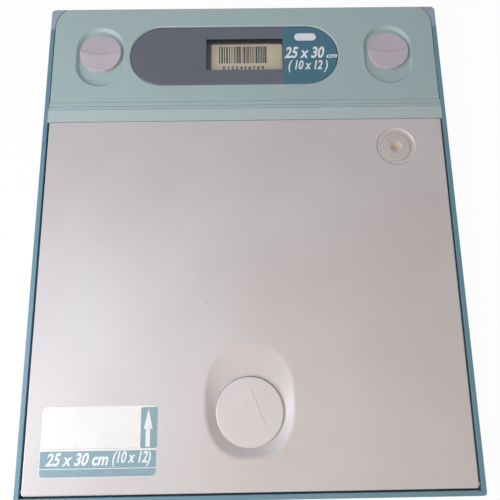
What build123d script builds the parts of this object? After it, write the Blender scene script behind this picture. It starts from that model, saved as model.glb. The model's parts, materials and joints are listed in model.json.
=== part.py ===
from build123d import *
import math
import os

# An x-ray film cassette of the kind that holds a reusable imaging plate. It lies with its tube side down, so
# the lid is on top. X is the width, Y runs from the hinge end to the lock end, Z is up. All sizes are in mm.

# ---- the casing, outside -------------------------------------------------------------------------------
WIDTH = 281.0
LENGTH = 332.0
HEIGHT = 15.0
CORNER_R = 3.0
RAIL_W = 3.3
RAIL_DROP = 0.4
RAIL_ROUND = 1.2
FOOT_ROUND = 0.7

# ---- the rails' section, inside ------------------------------------------------------------------------
WEB_T = 1.4
WEB_REACH = 12.5
END_WEB_REACH = 18.2
RIB_INSET = 8.5
END_RIB_INSET = 17.0
RIB_T = 1.0
RIB_H = 5.2

# ---- the stack that the tube side carries --------------------------------------------------------------
PLATE_T = 1.6
PLATE_FIT = 0.1
PLATE_CORNER_R = 2.0
CORE_T = 4.6
CORE_FIT = 0.2
FELT_T = 0.8
FELT_FIT = 0.2
IMAGING_SIDE_IN = 14.5
IMAGING_HINGE_IN = 10.5
IMAGING_LOCK_IN = 18.5
IMAGING_T = 1.0
IMAGING_R = 2.0
CODE_T = 0.8
CODE_W = 52.6
CODE_L = 23.8
CODE_R = 0.8
CODE_SHIFT_X = 2.0
CODE_SHIFT_Y = -0.6

# ---- the lid's edge, panel and hinge -------------------------------------------------------------------
LID_GAP = 1.0
HINGE_END_GAP = 1.0
PANEL_DROP = 0.3
PANEL_T = 0.8
PANEL_RIM_R = 1.2
PANEL_CORNER_R = 2.0
SIDE_FLANGE_H = 5.1
END_FLANGE_H = 4.4
HINGE_INSET = 2.4
HINGE_DROP = 2.7
PIN_R = 1.2
PIN_FIT = 0.05
PIN_CHAMFER = 0.2
PIN_GRIP = 2.2
PIN_REACH = 6.0
HINGE_BLOCK_R = 2.3
HINGE_BLOCK_W = 4.4
HINGE_BLOCK_L = 11.0
HINGE_BLOCK_DEEP = 4.0
FLANGE_HOLE_FIT = 0.4

# ---- the dish and the round disc in it -----------------------------------------------------------------
DISH_X = 0.0
DISH_IN = 52.4
DISH_HALF_W = 27.6
DISH_HALF_L = 33.5
DISH_FULLNESS = 2.5
DISH_POINTS = 32
DISH_DEEP = 3.1
DISH_RIM_R = 4.0
DISC_IN = 45.4
DISC_R = 21.0
DISC_FIT = 0.2
DISC_PROUD = 1.4
DISC_WALL = 1.6
DISC_TOP_T = 1.0
DISC_EDGE_R = 0.8
DISC_TRAVEL = 0.8
DISC_FLANGE_R = 22.9
DISC_FLANGE_T = 0.7
DISC_PLAY = 0.2
TRIANGLE_W = 20.7
TRIANGLE_L = 25.2
TRIANGLE_T = 0.2
TRIANGLE_Y = 2.9
RETAINER_R = 24.8
RETAINER_WALL = 1.5
RETAINER_FLOOR = 0.5
DISH_SKIRT = 0.5
DISC_SPRING_R = 14.0
DISC_SPRING_WIRE = 0.6
DISC_SPRING_TURNS = 2.0

# ---- the small round seat near the panel's upper right corner ------------------------------------------
SEAT_IN = 20.3
SEAT_RING_R = 13.7
SEAT_RING_DEEP = 0.8
SEAT_RING_SLOPE = 0.9
SEAT_R = 10.1
SEAT_FIT = 0.2
SEAT_PROUD = 0.5
SEAT_EDGE_R = 0.5
SEAT_CONE_R = 4.4
SEAT_CONE_TIP_R = 0.4
SEAT_CONE_DEEP = 1.7
SEAT_FLANGE_R = 12.0
SEAT_FLANGE_T = 0.9

# ---- the moulded end cap -------------------------------------------------------------------------------
CAP_L = 89.8
CAP_FRONT_GAP = 0.2
CAP_CORNER_R = 18.0
CAP_CORNER_INSET = 14.8
CAP_GAP = 0.3
CAP_STRIP_GAP = 0.1
CAP_DROP = 0.7
CAP_T = 1.6
CAP_EDGE_R = 0.5
SEAM_GAP = 0.5
STEP_EDGES = (9.3, 11.6, 14.9)
STEP_GROOVE_W = 0.4
STEP_GROOVE_DEEP = 0.3
TONGUE_L = 5.8
TONGUE_T = 1.3
TONGUE_INSET = 2.8
CAP_SKIRT_H = 4.5
CAP_SHADOW_GAP = 0.3

# ---- the nameplate and the window ----------------------------------------------------------------------
NAME_LEFT_GAP = 3.85
NAME_RIGHT_GAP = 18.45
NAME_IN = 38.35
NAME_W = 46.4
NAME_SUNK = 1.2
NAME_T = 0.6
NAME_FIT = 0.1
NAME_LIP = 0.6
NAME_BEVEL = 0.4
WINDOW_X = 0.05
WINDOW_IN = 37.5
WINDOW_W = 55.1
WINDOW_L = 24.8
WINDOW_R = 0.8
SHROUD_WALL = 1.5
SHROUD_FIT = 0.1
PANE_T = 1.0
PANE_LIP = 0.8
BOSS_T = 1.1

# ---- the locks -----------------------------------------------------------------------------------------
LOCK_IN = 37.2
RECESS_IN = 38.8
RECESS_W = 34.7
RECESS_L = 46.6
RECESS_DEEP = 2.2
RECESS_SLOPE_DEG = 42.0
RECESS_FLOOR_T = 0.8
BUTTON_R = 14.7
BUTTON_IN = 35.7
BUTTON_T = 2.4
BUTTON_LIFT = 0.2
BUTTON_EDGE_R = 0.35
SCOOP_R = 31.0
SCOOP_Y = -1.5
SCOOP_DEEP = 1.5
SCOOP_STEP = 0.25
STEM_W = 10.0
STEM_L = 8.0
LOCK_TRAVEL = 7.0
STEM_FIT = 0.4
SLIDE_W = 16.0
SLIDE_T = 1.8
SLIDE_FIT = 0.2
SLIDE_SIDE_FIT = 0.3
SLIDE_TAIL = 32.3
SLIDE_NOSE = 27.1
TAIL_T = 3.0
TAIL_H = 3.1
GUIDE_T = 1.2
HOOK_W = 12.0
HOOK_T = 0.8
HOOK_SHANK_T = 1.5
HOOK_BITE = 4.3
HOOK_NOSE_T = 1.8
HOOK_TIP = 0.6
HOOK_SEAT_L = 16.4
PEG_R = 1.2
PEG_PITCH = 7.0
SPRING_R = 1.15
SPRING_WIRE = 0.4
SPRING_TURNS = 7
SPRING_BOSS_IN = 4.3
SPRING_BOSS_T = 2.0
SPRING_BOSS_W = 8.0

# ---- the grey end piece, its keepers and the lock holes ------------------------------------------------
POST_L = 16.5
POST_ROUND = 1.0
END_WALL_T = 6.0
END_WALL_H = 7.8
KEEPER_W = 27.6
KEEPER_L = 4.8
KEEPER_T = 0.8
KEEPER_CORNER_R = 0.6
KEEPER_UNDER_FIT = 0.4
KEEPER_SCREW_X = 10.4
POCKET_W = 15.0
POCKET_L = 4.0
POCKET_H = 3.6
RELEASE_R = 1.8
SHOULDER_L = 10.5
CHANNEL_ARM_H = 2.5
CHANNEL_ARM_L = 11.5
CHANNEL_FIT = 0.1
KEY_ARM_L = 14.0
KEY_SCREW_L = 9.8
SCREW_R = 0.9
SCREW_HEAD_R = 1.7
SCREW_HEAD_T = 0.8
SCREW_HEAD_ROUND = 0.36
SCREW_BITE = 2.6
SEAL_GAP = 0.4
SEAL_START = 16.0
SEAL_FIT = 0.3

# ---- the lid's lining ----------------------------------------------------------------------------------
COVER_T = 0.5
COVER_OVER_CODE = 0.4
COVER_INSET = 4.9
COVER_END_IN = 1.0
LEAD_T = 0.2
LINING_INSET = 6.3
LINER_T = 0.5
LINER_OVER_PLATE = 0.3
LINING_END_INSET = 7.3
LINING_SEAM_INSET = 10.2
LINING_FIT = 0.5
COVER_BOSS_R = 2.4
COVER_SCREW_LOW_IN = 5.5
COVER_SCREW_SIDE_IN = 7.5
COVER_SCREW_ARC_IN = 2.0
COVER_SCREW_MID_IN = 57.3
COVER_SCREW_TOP_X_IN = 41.3
COVER_SCREW_TOP_IN = 8.0
COVER_SCREW_SKIN = 0.4

# ---- the paper label on the panel ----------------------------------------------------------------------
LABEL_SIDE_IN = 9.9
LABEL_HINGE_IN = 10.2
LABEL_W = 70.0
LABEL_L = 40.4
LABEL_R = 3.0
LABEL_T = 0.15

# ---- levels and lines worked out from the sizes above --------------------------------------------------
HALF_W = WIDTH / 2
HALF_L = LENGTH / 2
RAIL_TOP = HEIGHT - RAIL_DROP
WEB_TOP = PLATE_T + WEB_T
RIB_TOP = WEB_TOP + RIB_H
PLATE_HALF_W = HALF_W - RAIL_W - PLATE_FIT
PLATE_HALF_L = HALF_L - RAIL_W - PLATE_FIT
TRAY_HALF_W = HALF_W - WEB_REACH
IMAGING_W = WIDTH - 2 * IMAGING_SIDE_IN
IMAGING_L = LENGTH - IMAGING_HINGE_IN - IMAGING_LOCK_IN
IMAGING_Y = (IMAGING_HINGE_IN - IMAGING_LOCK_IN) / 2
FELT_Z = PLATE_T + CORE_T
IMAGING_Z = FELT_Z + FELT_T
IMAGING_TOP = IMAGING_Z + IMAGING_T
CODE_TOP = IMAGING_TOP + CODE_T
INNER_FACE_X = HALF_W - RAIL_W

PANEL_TOP = HEIGHT - PANEL_DROP
PANEL_UNDER = PANEL_TOP - PANEL_T
PANEL_HALF_W = INNER_FACE_X - LID_GAP
PANEL_END_Y = -HALF_L + RAIL_W + HINGE_END_GAP
SEAM_Y = HALF_L - CAP_L
FLANGE_UNDER = PANEL_TOP - SIDE_FLANGE_H
HINGE_Y = PANEL_END_Y + HINGE_INSET
HINGE_Z = PANEL_TOP - HINGE_DROP

DISH_Y = PANEL_END_Y + DISH_IN
DISC_Y = PANEL_END_Y + DISC_IN
DISH_FLOOR = PANEL_TOP - DISH_DEEP
DISH_UNDER = DISH_FLOOR - PANEL_T
DISC_TOP = DISH_FLOOR + DISC_PROUD
DISC_FLANGE_TOP = DISH_UNDER - DISC_PLAY
DISC_UNDER = DISC_FLANGE_TOP - DISC_FLANGE_T
RETAINER_TOP = DISC_UNDER - DISC_TRAVEL - DISC_PLAY
LABEL_X = -PANEL_HALF_W + LABEL_SIDE_IN + LABEL_W / 2
LABEL_Y = PANEL_END_Y + LABEL_HINGE_IN + LABEL_L / 2

CAP_TOP = HEIGHT - CAP_DROP
CAP_UNDER = CAP_TOP - CAP_T
CAP_HALF_W = INNER_FACE_X - CAP_GAP
STRIP_HALF_W = INNER_FACE_X - CAP_STRIP_GAP
CAP_FRONT_Y = HALF_L - CAP_FRONT_GAP
CAP_CORNER_Y = HALF_L - CAP_CORNER_INSET
CAP_START_Y = SEAM_Y + SEAM_GAP
CAP_FRONT_UNDER = END_WALL_H + CAP_SHADOW_GAP
CAP_SIDE_UNDER = CAP_TOP - CAP_SKIRT_H

LOCK_X = HALF_W - LOCK_IN
RECESS_Y = HALF_L - RECESS_IN
BUTTON_Y = HALF_L - BUTTON_IN
SEAT_X = LOCK_X
SEAT_Y = SEAM_Y - SEAT_IN
RECESS_FLOOR = CAP_TOP - RECESS_DEEP
RECESS_UNDER = RECESS_FLOOR - RECESS_FLOOR_T
COVER_UNDER = IMAGING_TOP + COVER_OVER_CODE
COVER_TOP = COVER_UNDER + COVER_T
SLIDE_UNDER = COVER_TOP + SLIDE_FIT
SLIDE_TOP = SLIDE_UNDER + SLIDE_T
BUTTON_UNDER = RECESS_FLOOR + BUTTON_LIFT
BUTTON_TOP = BUTTON_UNDER + BUTTON_T
TAIL_Y = BUTTON_Y - SLIDE_TAIL
NOSE_Y = BUTTON_Y + SLIDE_NOSE
BOSS_Y = CAP_START_Y + SPRING_BOSS_IN + SPRING_BOSS_T
SPRING_REST = TAIL_Y - BOSS_Y
KEEPER_UNDER = END_WALL_H - KEEPER_T
END_FACE_Y = HALF_L - END_WALL_T
LINER_UNDER = IMAGING_TOP + LINER_OVER_PLATE
LINER_TOP = LINER_UNDER + LINER_T
LEAD_UNDER = PANEL_UNDER - LEAD_T
LINING_HALF_W = PANEL_HALF_W - LINING_INSET
LINING_START_Y = PANEL_END_Y + LINING_END_INSET
LINING_END_Y = SEAM_Y - LINING_SEAM_INSET
RECESS_INNER_X = LOCK_X - RECESS_W / 2
NAME_L = 2 * RECESS_INNER_X - NAME_LEFT_GAP - NAME_RIGHT_GAP
NAME_X = (NAME_LEFT_GAP - NAME_RIGHT_GAP) / 2
NAME_Y = HALF_L - NAME_IN
NAME_FLOOR = CAP_TOP - NAME_SUNK
WINDOW_Y = HALF_L - WINDOW_IN
CODE_X = WINDOW_X + CODE_SHIFT_X
CODE_Y = WINDOW_Y + CODE_SHIFT_Y
FLIP = Plane.YZ
CUT = 1.0      # how far a cutting shape runs past the face it opens
JOIN = 0.1     # how far a shape that is added sinks into what it joins
NEAR = 0.001   # two places closer than this are the same one


# ---- small helpers -------------------------------------------------------------------------------------
def block(x0, x1, y0, y1, z0, z1):
    return Pos((x0 + x1) / 2, (y0 + y1) / 2, (z0 + z1) / 2) * Box(x1 - x0, y1 - y0, z1 - z0)


def disc(x, y, z0, z1, radius):
    return Pos(x, y, (z0 + z1) / 2) * Cylinder(radius, z1 - z0)


def prism(sketch, z0, z1, taper=0.0):
    return extrude(Pos(0, 0, z0) * sketch, amount=z1 - z0, taper=taper)


def rounded(x, y, width, length, radius):
    return Pos(x, y) * RectangleRounded(width, length, radius)


def slot(x, y, length, width, turn=0.0):
    return Pos(x, y) * Rot(0, 0, turn) * SlotOverall(length, width)


def both_sides(shape):
    return [shape, mirror(shape, FLIP)]


def write(name, shape):
    """One node to its own file; a list of shapes is one node of several solids."""
    shapes = shape if isinstance(shape, list) else [shape]
    solids = [solid for item in shapes for solid in item.solids()]
    whole = solids[0] if len(solids) == 1 else Compound(children=solids)
    export_step(whole, f"parts/{name}.step")


def rounded_edge_disc(radius, z0, z1, edge):
    body = disc(0, 0, z0, z1, radius)
    return fillet(body.edges().group_by(Axis.Z)[-1], edge)


# ---- the casing ----------------------------------------------------------------------------------------
def casing_outline():
    return prism(RectangleRounded(WIDTH, LENGTH, CORNER_R), 0, HEIGHT)


def rail_section(web_reach, rib_inset, top):
    """Outer wall, web over the front plate's edge and rib beside the lining; x goes inward, y goes up."""
    rib_end = rib_inset + RIB_T
    points = [(0, 0), (RAIL_W, 0), (RAIL_W, PLATE_T), (web_reach, PLATE_T), (web_reach, WEB_TOP)]
    points += [(rib_end, WEB_TOP), (rib_end, RIB_TOP), (rib_inset, RIB_TOP), (rib_inset, WEB_TOP)]
    points += [(RAIL_W, WEB_TOP), (RAIL_W, top), (0, top)]
    face = make_face(Polyline(*points, close=True))
    corner = [v for v in face.vertices() if abs(v.X) < NEAR and v.Y > 1]
    face = fillet(corner, RAIL_ROUND)
    foot = [v for v in face.vertices() if abs(v.X) < NEAR and v.Y < NEAR]
    return fillet(foot, FOOT_ROUND)


def mitre_cutter():
    """A prism over everything on the side rail's side of the 45 degree line through the hinge end corner."""
    reach = WEB_REACH * 3
    x0, y0 = -HALF_W - CUT, -HALF_L - CUT
    corner = Polyline((x0, y0), (x0 + reach, y0 + reach), (x0, y0 + reach), close=True)
    return prism(make_face(corner), -CUT, HEIGHT + CUT)


def side_rail():
    length = LENGTH - POST_L
    place = Plane(origin=(-HALF_W, HALF_L - POST_L, 0), x_dir=(1, 0, 0), z_dir=(0, -1, 0))
    body = extrude(place * rail_section(WEB_REACH, RIB_INSET, RAIL_TOP), amount=length)
    hinge_zone = block(-HALF_W - CUT, 0, -HALF_L - CUT, -HALF_L + WEB_REACH * 2, -CUT, HEIGHT + CUT)
    body = body - (hinge_zone - mitre_cutter())
    pin_hole = Pos(-INNER_FACE_X, HINGE_Y, HINGE_Z) * Rot(0, 90, 0) * Cylinder(PIN_R, 2 * PIN_GRIP)
    screws = screw_holes(left_screw_spots())
    return (body - pin_hole - screws) & casing_outline()


def hinge_rail():
    place = Plane(origin=(-HALF_W, -HALF_L, 0), x_dir=(0, 1, 0), z_dir=(1, 0, 0))
    body = extrude(place * rail_section(WEB_REACH, RIB_INSET, RAIL_TOP), amount=WIDTH)
    body = body - both_sides(mitre_cutter())
    screws = screw_holes(end_screw_spots())
    return (body - screws) & casing_outline()


def channel_mid():
    return (RAIL_W + RIB_INSET) / 2


def channel_half():
    return (RIB_INSET - RAIL_W) / 2 - CHANNEL_FIT


def left_screw_spots():
    """Screws in the left rail's channel: one through the end piece's arm, one through the corner key."""
    x = -HALF_W + channel_mid()
    arm_y = HALF_L - POST_L - CHANNEL_ARM_L / 2
    key_y = -HALF_L + channel_mid() + KEY_SCREW_L
    return [(x, arm_y), (x, key_y)]


def end_screw_spots():
    x = HALF_W - channel_mid() - KEY_SCREW_L
    y = -HALF_L + channel_mid()
    return [(-x, y), (x, y)]


def screw_holes(spots):
    """Blind holes for the frame's screws, in the web that is the channel's floor."""
    return [disc(x, y, WEB_TOP - SCREW_BITE / 2, WEB_TOP + CUT, SCREW_R) for x, y in spots]


def corner_key():
    """L-shaped key in the two channels that meet at the hinge end's left corner."""
    half = channel_half()
    x, y = -HALF_W + channel_mid(), -HALF_L + channel_mid()
    z0, z1 = WEB_TOP, WEB_TOP + CHANNEL_ARM_H
    arm_a = block(x - half, x + half, y - half, y + KEY_ARM_L, z0, z1)
    arm_b = block(x - half, x + KEY_ARM_L, y - half, y + half, z0, z1)
    key = arm_a + arm_b
    spots = (left_screw_spots()[1], end_screw_spots()[0])
    return key - [disc(sx, sy, z0 - CUT, z1 + CUT, SCREW_R) for sx, sy in spots]


def pan_screw(x, y, seat_z, bite):
    shank = disc(x, y, seat_z - bite, seat_z, SCREW_R)
    head = Pos(x, y, 0) * rounded_edge_disc(SCREW_HEAD_R, seat_z, seat_z + SCREW_HEAD_T, SCREW_HEAD_ROUND)
    return shank + head


def frame_screws():
    seat = WEB_TOP + CHANNEL_ARM_H
    bite = CHANNEL_ARM_H + SCREW_BITE / 2
    left = [pan_screw(x, y, seat, bite) for x, y in left_screw_spots() + end_screw_spots()[:1]]
    return [s for screw in left for s in both_sides(screw)]


def lid_plan(half_w, gap):
    """The end cap's outline: straight sides, round corners that run off its front edge."""
    radius = CAP_CORNER_R + gap
    y1 = CAP_CORNER_Y + radius
    full = Pos(0, (SEAM_Y + y1) / 2) * Rectangle(2 * half_w, y1 - SEAM_Y)
    corners = full.vertices().group_by(Axis.Y)[-1]
    return fillet(corners, radius)


def end_piece():
    """Grey U-shaped moulding: a low wall under the end cap's front, and a full-height post at each corner."""
    post_y = HALF_L - POST_L
    place = Plane(origin=(HALF_W, HALF_L, 0), x_dir=(0, -1, 0), z_dir=(-1, 0, 0))
    rib_end = END_RIB_INSET + RIB_T
    points = [(0, 0), (RAIL_W, 0), (RAIL_W, PLATE_T), (END_WEB_REACH, PLATE_T), (END_WEB_REACH, WEB_TOP)]
    points += [(rib_end, WEB_TOP), (rib_end, RIB_TOP - SEAL_FIT), (END_RIB_INSET, RIB_TOP - SEAL_FIT)]
    points += [(END_RIB_INSET, WEB_TOP), (END_WALL_T, WEB_TOP), (END_WALL_T, END_WALL_H), (0, END_WALL_H)]
    face = make_face(Polyline(*points, close=True))
    foot = [v for v in face.vertices() if abs(v.X) < NEAR and v.Y < NEAR]
    face = fillet(foot, FOOT_ROUND)
    wall = extrude(place * face, amount=WIDTH)
    side_x = HALF_W - WEB_REACH
    for side in both_sides(block(-HALF_W, -side_x, 0, post_y, -CUT, HEIGHT)):
        wall = wall - side

    post_plan = Pos(0, post_y + POST_L / 2) * Rectangle(WIDTH, POST_L)
    posts = prism(post_plan - lid_plan(INNER_FACE_X, CAP_GAP), 0, CAP_TOP) & casing_outline()
    outer_top = []
    for edge in posts.edges().group_by(Axis.Z)[-1]:
        if abs(edge.center().X) > HALF_W - POST_ROUND or edge.center().Y > HALF_L - POST_ROUND:
            outer_top.append(edge)
    posts = fillet(outer_top, POST_ROUND)
    body = wall + posts - block(-INNER_FACE_X, INNER_FACE_X, 0, HALF_L - RAIL_W, -CUT, PLATE_T)

    shoulder = block(-INNER_FACE_X - JOIN, -HALF_W + RIB_INSET + RIB_T, END_FACE_Y - SHOULDER_L,
                     END_FACE_Y, PLATE_T, END_WALL_H)
    half = channel_half()
    mid = -HALF_W + channel_mid()
    arm = block(mid - half, mid + half, post_y - CHANNEL_ARM_L, post_y + JOIN,
                WEB_TOP, WEB_TOP + CHANNEL_ARM_H)
    arm_hole = disc(mid, left_screw_spots()[0][1], 0, HEIGHT, SCREW_R)
    for part in both_sides(shoulder) + both_sides(arm):
        body = body + part
    body = body - both_sides(arm_hole)
    for sign in (-1, 1):
        body = body - lock_cuts(sign * LOCK_X)
    return body & casing_outline()


def lock_cuts(x):
    """What one lock takes out of the end wall: hook pocket, keeper seat, its screws and the release hole."""
    pocket_y = END_FACE_Y + POCKET_L
    pocket = block(x - POCKET_W / 2, x + POCKET_W / 2, END_FACE_Y - CUT, pocket_y,
                   KEEPER_UNDER - POCKET_H, END_WALL_H + CUT)
    seat = block(x - KEEPER_W / 2, x + KEEPER_W / 2, END_FACE_Y - CUT, END_FACE_Y + KEEPER_L,
                 KEEPER_UNDER, END_WALL_H + CUT)
    hole_z = KEEPER_UNDER - POCKET_H / 2
    release = Pos(x, HALF_L, hole_z) * Rot(90, 0, 0) * Cylinder(RELEASE_R, 2 * END_WALL_T)
    cuts = [pocket, seat, release]
    for sx in (-KEEPER_SCREW_X, KEEPER_SCREW_X):
        cuts.append(disc(x + sx, END_FACE_Y + KEEPER_L / 2, WEB_TOP, END_WALL_H, SCREW_R))
    return cuts


def countersunk(x, y, top, head_h, bite, flip=1):
    """A countersunk screw whose head is flush with top; flip is -1 where the head faces down."""
    points = [(0, 0), (SCREW_R + head_h, 0), (SCREW_R, -head_h), (SCREW_R, -bite), (0, -bite)]
    screw = revolve(Plane.XZ * make_face(Polyline(*points, close=True)), Axis.Z)
    turned = screw if flip > 0 else Rot(180, 0, 0) * screw
    return Pos(x, y, top) * turned


def keeper_spots(x):
    return [(x + sx, END_FACE_Y + KEEPER_L / 2) for sx in (-KEEPER_SCREW_X, KEEPER_SCREW_X)]


def keeper(x):
    """Steel strike plate over the pocket: the hook's nose bites under its inner edge."""
    half = KEEPER_W / 2
    plate = block(x - half, x + half, END_FACE_Y, END_FACE_Y + KEEPER_L, KEEPER_UNDER, END_WALL_H)
    plate = fillet(plate.edges().filter_by(Axis.Z), KEEPER_CORNER_R)
    return plate - [countersunk(sx, sy, END_WALL_H, KEEPER_T, 2 * KEEPER_T) for sx, sy in keeper_spots(x)]


def keeper_screws():
    bite = END_WALL_H - WEB_TOP
    spots = keeper_spots(-LOCK_X) + keeper_spots(LOCK_X)
    return [countersunk(x, y, END_WALL_H, KEEPER_T, bite) for x, y in spots]


def hinge_pins():
    length = PIN_GRIP + PIN_REACH
    mid = -INNER_FACE_X - PIN_GRIP + length / 2
    pin = Pos(mid, HINGE_Y, HINGE_Z) * Rot(0, 90, 0) * Cylinder(PIN_R, length)
    pin = chamfer(pin.edges().filter_by(GeomType.CIRCLE), PIN_CHAMFER)
    return both_sides(pin)


def front_plate():
    return prism(RectangleRounded(2 * PLATE_HALF_W, 2 * PLATE_HALF_L, PLATE_CORNER_R), 0, PLATE_T)


def foam_core():
    y0 = -HALF_L + WEB_REACH + CORE_FIT
    y1 = HALF_L - END_WEB_REACH - CORE_FIT
    half = TRAY_HALF_W - CORE_FIT
    return block(-half, half, y0, y1, PLATE_T, FELT_Z)


def felt_liner():
    half = HALF_W - RIB_INSET - RIB_T - FELT_FIT
    y0 = -HALF_L + RIB_INSET + RIB_T + FELT_FIT
    y1 = HALF_L - END_RIB_INSET - RIB_T - FELT_FIT
    return block(-half, half, y0, y1, FELT_Z, IMAGING_Z)


def imaging_plate():
    return prism(rounded(0, IMAGING_Y, IMAGING_W, IMAGING_L, IMAGING_R), IMAGING_Z, IMAGING_TOP)


def barcode_label():
    return prism(rounded(CODE_X, CODE_Y, CODE_W, CODE_L, CODE_R), IMAGING_TOP, CODE_TOP)


def light_seals():
    """Foam strips in the rails' channels, which the lid's flanges press towards."""
    x = -HALF_W + channel_mid()
    half = channel_half() - CHANNEL_FIT
    y0 = -HALF_L + channel_mid() + SEAL_START
    y1 = HALF_L - POST_L - CHANNEL_ARM_L - SEAL_FIT
    side = block(x - half, x + half, y0, y1, WEB_TOP, FLANGE_UNDER - SEAL_GAP)
    y = -HALF_L + channel_mid()
    end_x = HALF_W - channel_mid() - SEAL_START
    sweep_r = math.hypot(HINGE_INSET, HINGE_Z - PANEL_TOP + END_FLANGE_H)
    end_top = HINGE_Z - sweep_r - SEAL_GAP
    end = block(-end_x, end_x, y - half, y + half, WEB_TOP, end_top)
    return both_sides(side) + [end]


# ---- the lid's panel -----------------------------------------------------------------------------------
def panel_shell(half_w, y0, y1, under, top, corner_r, rim_r):
    """Closed block of the panel's outer or inner form: rounded hinge-end corners and a rolled top rim."""
    plan = Pos(0, (y0 + y1) / 2) * Rectangle(2 * half_w, y1 - y0)
    plan = fillet(plan.vertices().group_by(Axis.Y)[0], corner_r)
    body = prism(plan, under, top)
    rim = [e for e in body.edges().group_by(Axis.Z)[-1] if e.center().Y < y1 - NEAR]
    return fillet(rim, rim_r)


def dish_outline(grow):
    """The dish's oval, fuller at its shoulders than an ellipse."""
    points = []
    for step in range(DISH_POINTS):
        turn = 2 * math.pi * step / DISH_POINTS
        across, along = math.cos(turn), math.sin(turn)
        x = (DISH_HALF_W + grow) * math.copysign(abs(across) ** (2 / DISH_FULLNESS), across)
        y = (DISH_HALF_L + grow) * math.copysign(abs(along) ** (2 / DISH_FULLNESS), along)
        points.append((DISH_X + x, DISH_Y + y))
    return make_face(Spline(*points, periodic=True))


def dish_form(grow, top, floor_r, floor):
    """Loft from the dish's oval rim down to the round floor that the disc sits in."""
    rim = Pos(0, 0, top) * dish_outline(grow)
    foot = Pos(DISH_X, DISC_Y, floor) * Circle(floor_r)
    return loft([rim, foot])


def lid_panel():
    outer = panel_shell(PANEL_HALF_W, PANEL_END_Y, SEAM_Y, FLANGE_UNDER, PANEL_TOP,
                        PANEL_CORNER_R, PANEL_RIM_R)
    inner = panel_shell(PANEL_HALF_W - PANEL_T, PANEL_END_Y + PANEL_T, SEAM_Y + CUT, FLANGE_UNDER - CUT,
                        PANEL_UNDER, PANEL_CORNER_R - PANEL_T, PANEL_RIM_R - PANEL_T)
    body = outer - inner
    end_zone = block(-PANEL_HALF_W, PANEL_HALF_W, PANEL_END_Y - CUT, PANEL_END_Y + PANEL_CORNER_R,
                     FLANGE_UNDER - CUT, PANEL_TOP - END_FLANGE_H)
    body = body - end_zone

    body = body + dish_form(PANEL_T, PANEL_UNDER, RETAINER_R + DISH_SKIRT, DISH_UNDER)
    body = body - dish_form(0, PANEL_TOP, DISC_R + 2 * DISC_FIT, DISH_FLOOR)
    body = body - disc(DISH_X, DISC_Y, DISH_UNDER - CUT, DISH_FLOOR + CUT, DISC_R + DISC_FIT)
    rim = [e for e in body.edges().filter_by(GeomType.BSPLINE) if abs(e.center().Z - PANEL_TOP) < NEAR]
    body = fillet(rim, DISH_RIM_R)

    boss_r = SEAT_RING_R + PANEL_T
    body = body + disc(SEAT_X, SEAT_Y, PANEL_UNDER - SEAT_RING_DEEP, PANEL_UNDER + JOIN, boss_r)
    ring_low = SEAT_RING_R - SEAT_RING_SLOPE
    ring = Polyline((0, 0), (SEAT_RING_R, 0), (ring_low, -SEAT_RING_DEEP), (0, -SEAT_RING_DEEP), close=True)
    body = body - Pos(SEAT_X, SEAT_Y, PANEL_TOP) * revolve(Plane.XZ * make_face(ring), Axis.Z)
    body = body - disc(SEAT_X, SEAT_Y, PANEL_UNDER - SEAT_RING_DEEP - CUT, PANEL_TOP, SEAT_R + SEAT_FIT)

    hole_r = PIN_R + FLANGE_HOLE_FIT
    pin_way = Pos(-PANEL_HALF_W, HINGE_Y, HINGE_Z) * Rot(0, 90, 0) * Cylinder(hole_r, 4 * PANEL_T)
    return body - both_sides(pin_way)


def centre_seat():
    """Small round insert with a conical centre, seated from below against the panel's ring."""
    top = PANEL_TOP - SEAT_RING_DEEP + SEAT_PROUD
    under = PANEL_UNDER - SEAT_RING_DEEP
    body = rounded_edge_disc(SEAT_R, under - SEAT_FLANGE_T, top, SEAT_EDGE_R)
    body = body + disc(0, 0, under - SEAT_FLANGE_T, under, SEAT_FLANGE_R)
    cone = Pos(0, 0, top - SEAT_CONE_DEEP / 2) * Cone(SEAT_CONE_TIP_R, SEAT_CONE_R, SEAT_CONE_DEEP)
    return Pos(SEAT_X, SEAT_Y, 0) * (body - cone)


def hinge_block():
    """Bearing block under the panel's corner: a round eye on the pin, and a foot against the panel."""
    eye = Circle(HINGE_BLOCK_R)
    rise = PANEL_UNDER - HINGE_Z
    foot = Pos(HINGE_BLOCK_L / 2, rise - HINGE_BLOCK_DEEP / 2) * Rectangle(HINGE_BLOCK_L, HINGE_BLOCK_DEEP)
    cap = Pos(0, rise + HINGE_BLOCK_L) * Rectangle(4 * HINGE_BLOCK_L, 2 * HINGE_BLOCK_L)
    profile = (eye + foot) - cap - Circle(PIN_R + PIN_FIT)
    x0 = -PANEL_HALF_W + PANEL_T
    place = Plane(origin=(x0, HINGE_Y, HINGE_Z), x_dir=(0, 1, 0), z_dir=(1, 0, 0))
    body = extrude(place * profile, amount=HINGE_BLOCK_W)
    corner = panel_shell(PANEL_HALF_W - PANEL_T, PANEL_END_Y + PANEL_T, SEAM_Y, FLANGE_UNDER - 2, PANEL_UNDER,
                         PANEL_CORNER_R - PANEL_T, PANEL_RIM_R - PANEL_T)
    return body & corner


def paper_label():
    return prism(rounded(LABEL_X, LABEL_Y, LABEL_W, LABEL_L, LABEL_R), PANEL_TOP, PANEL_TOP + LABEL_T)


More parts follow.
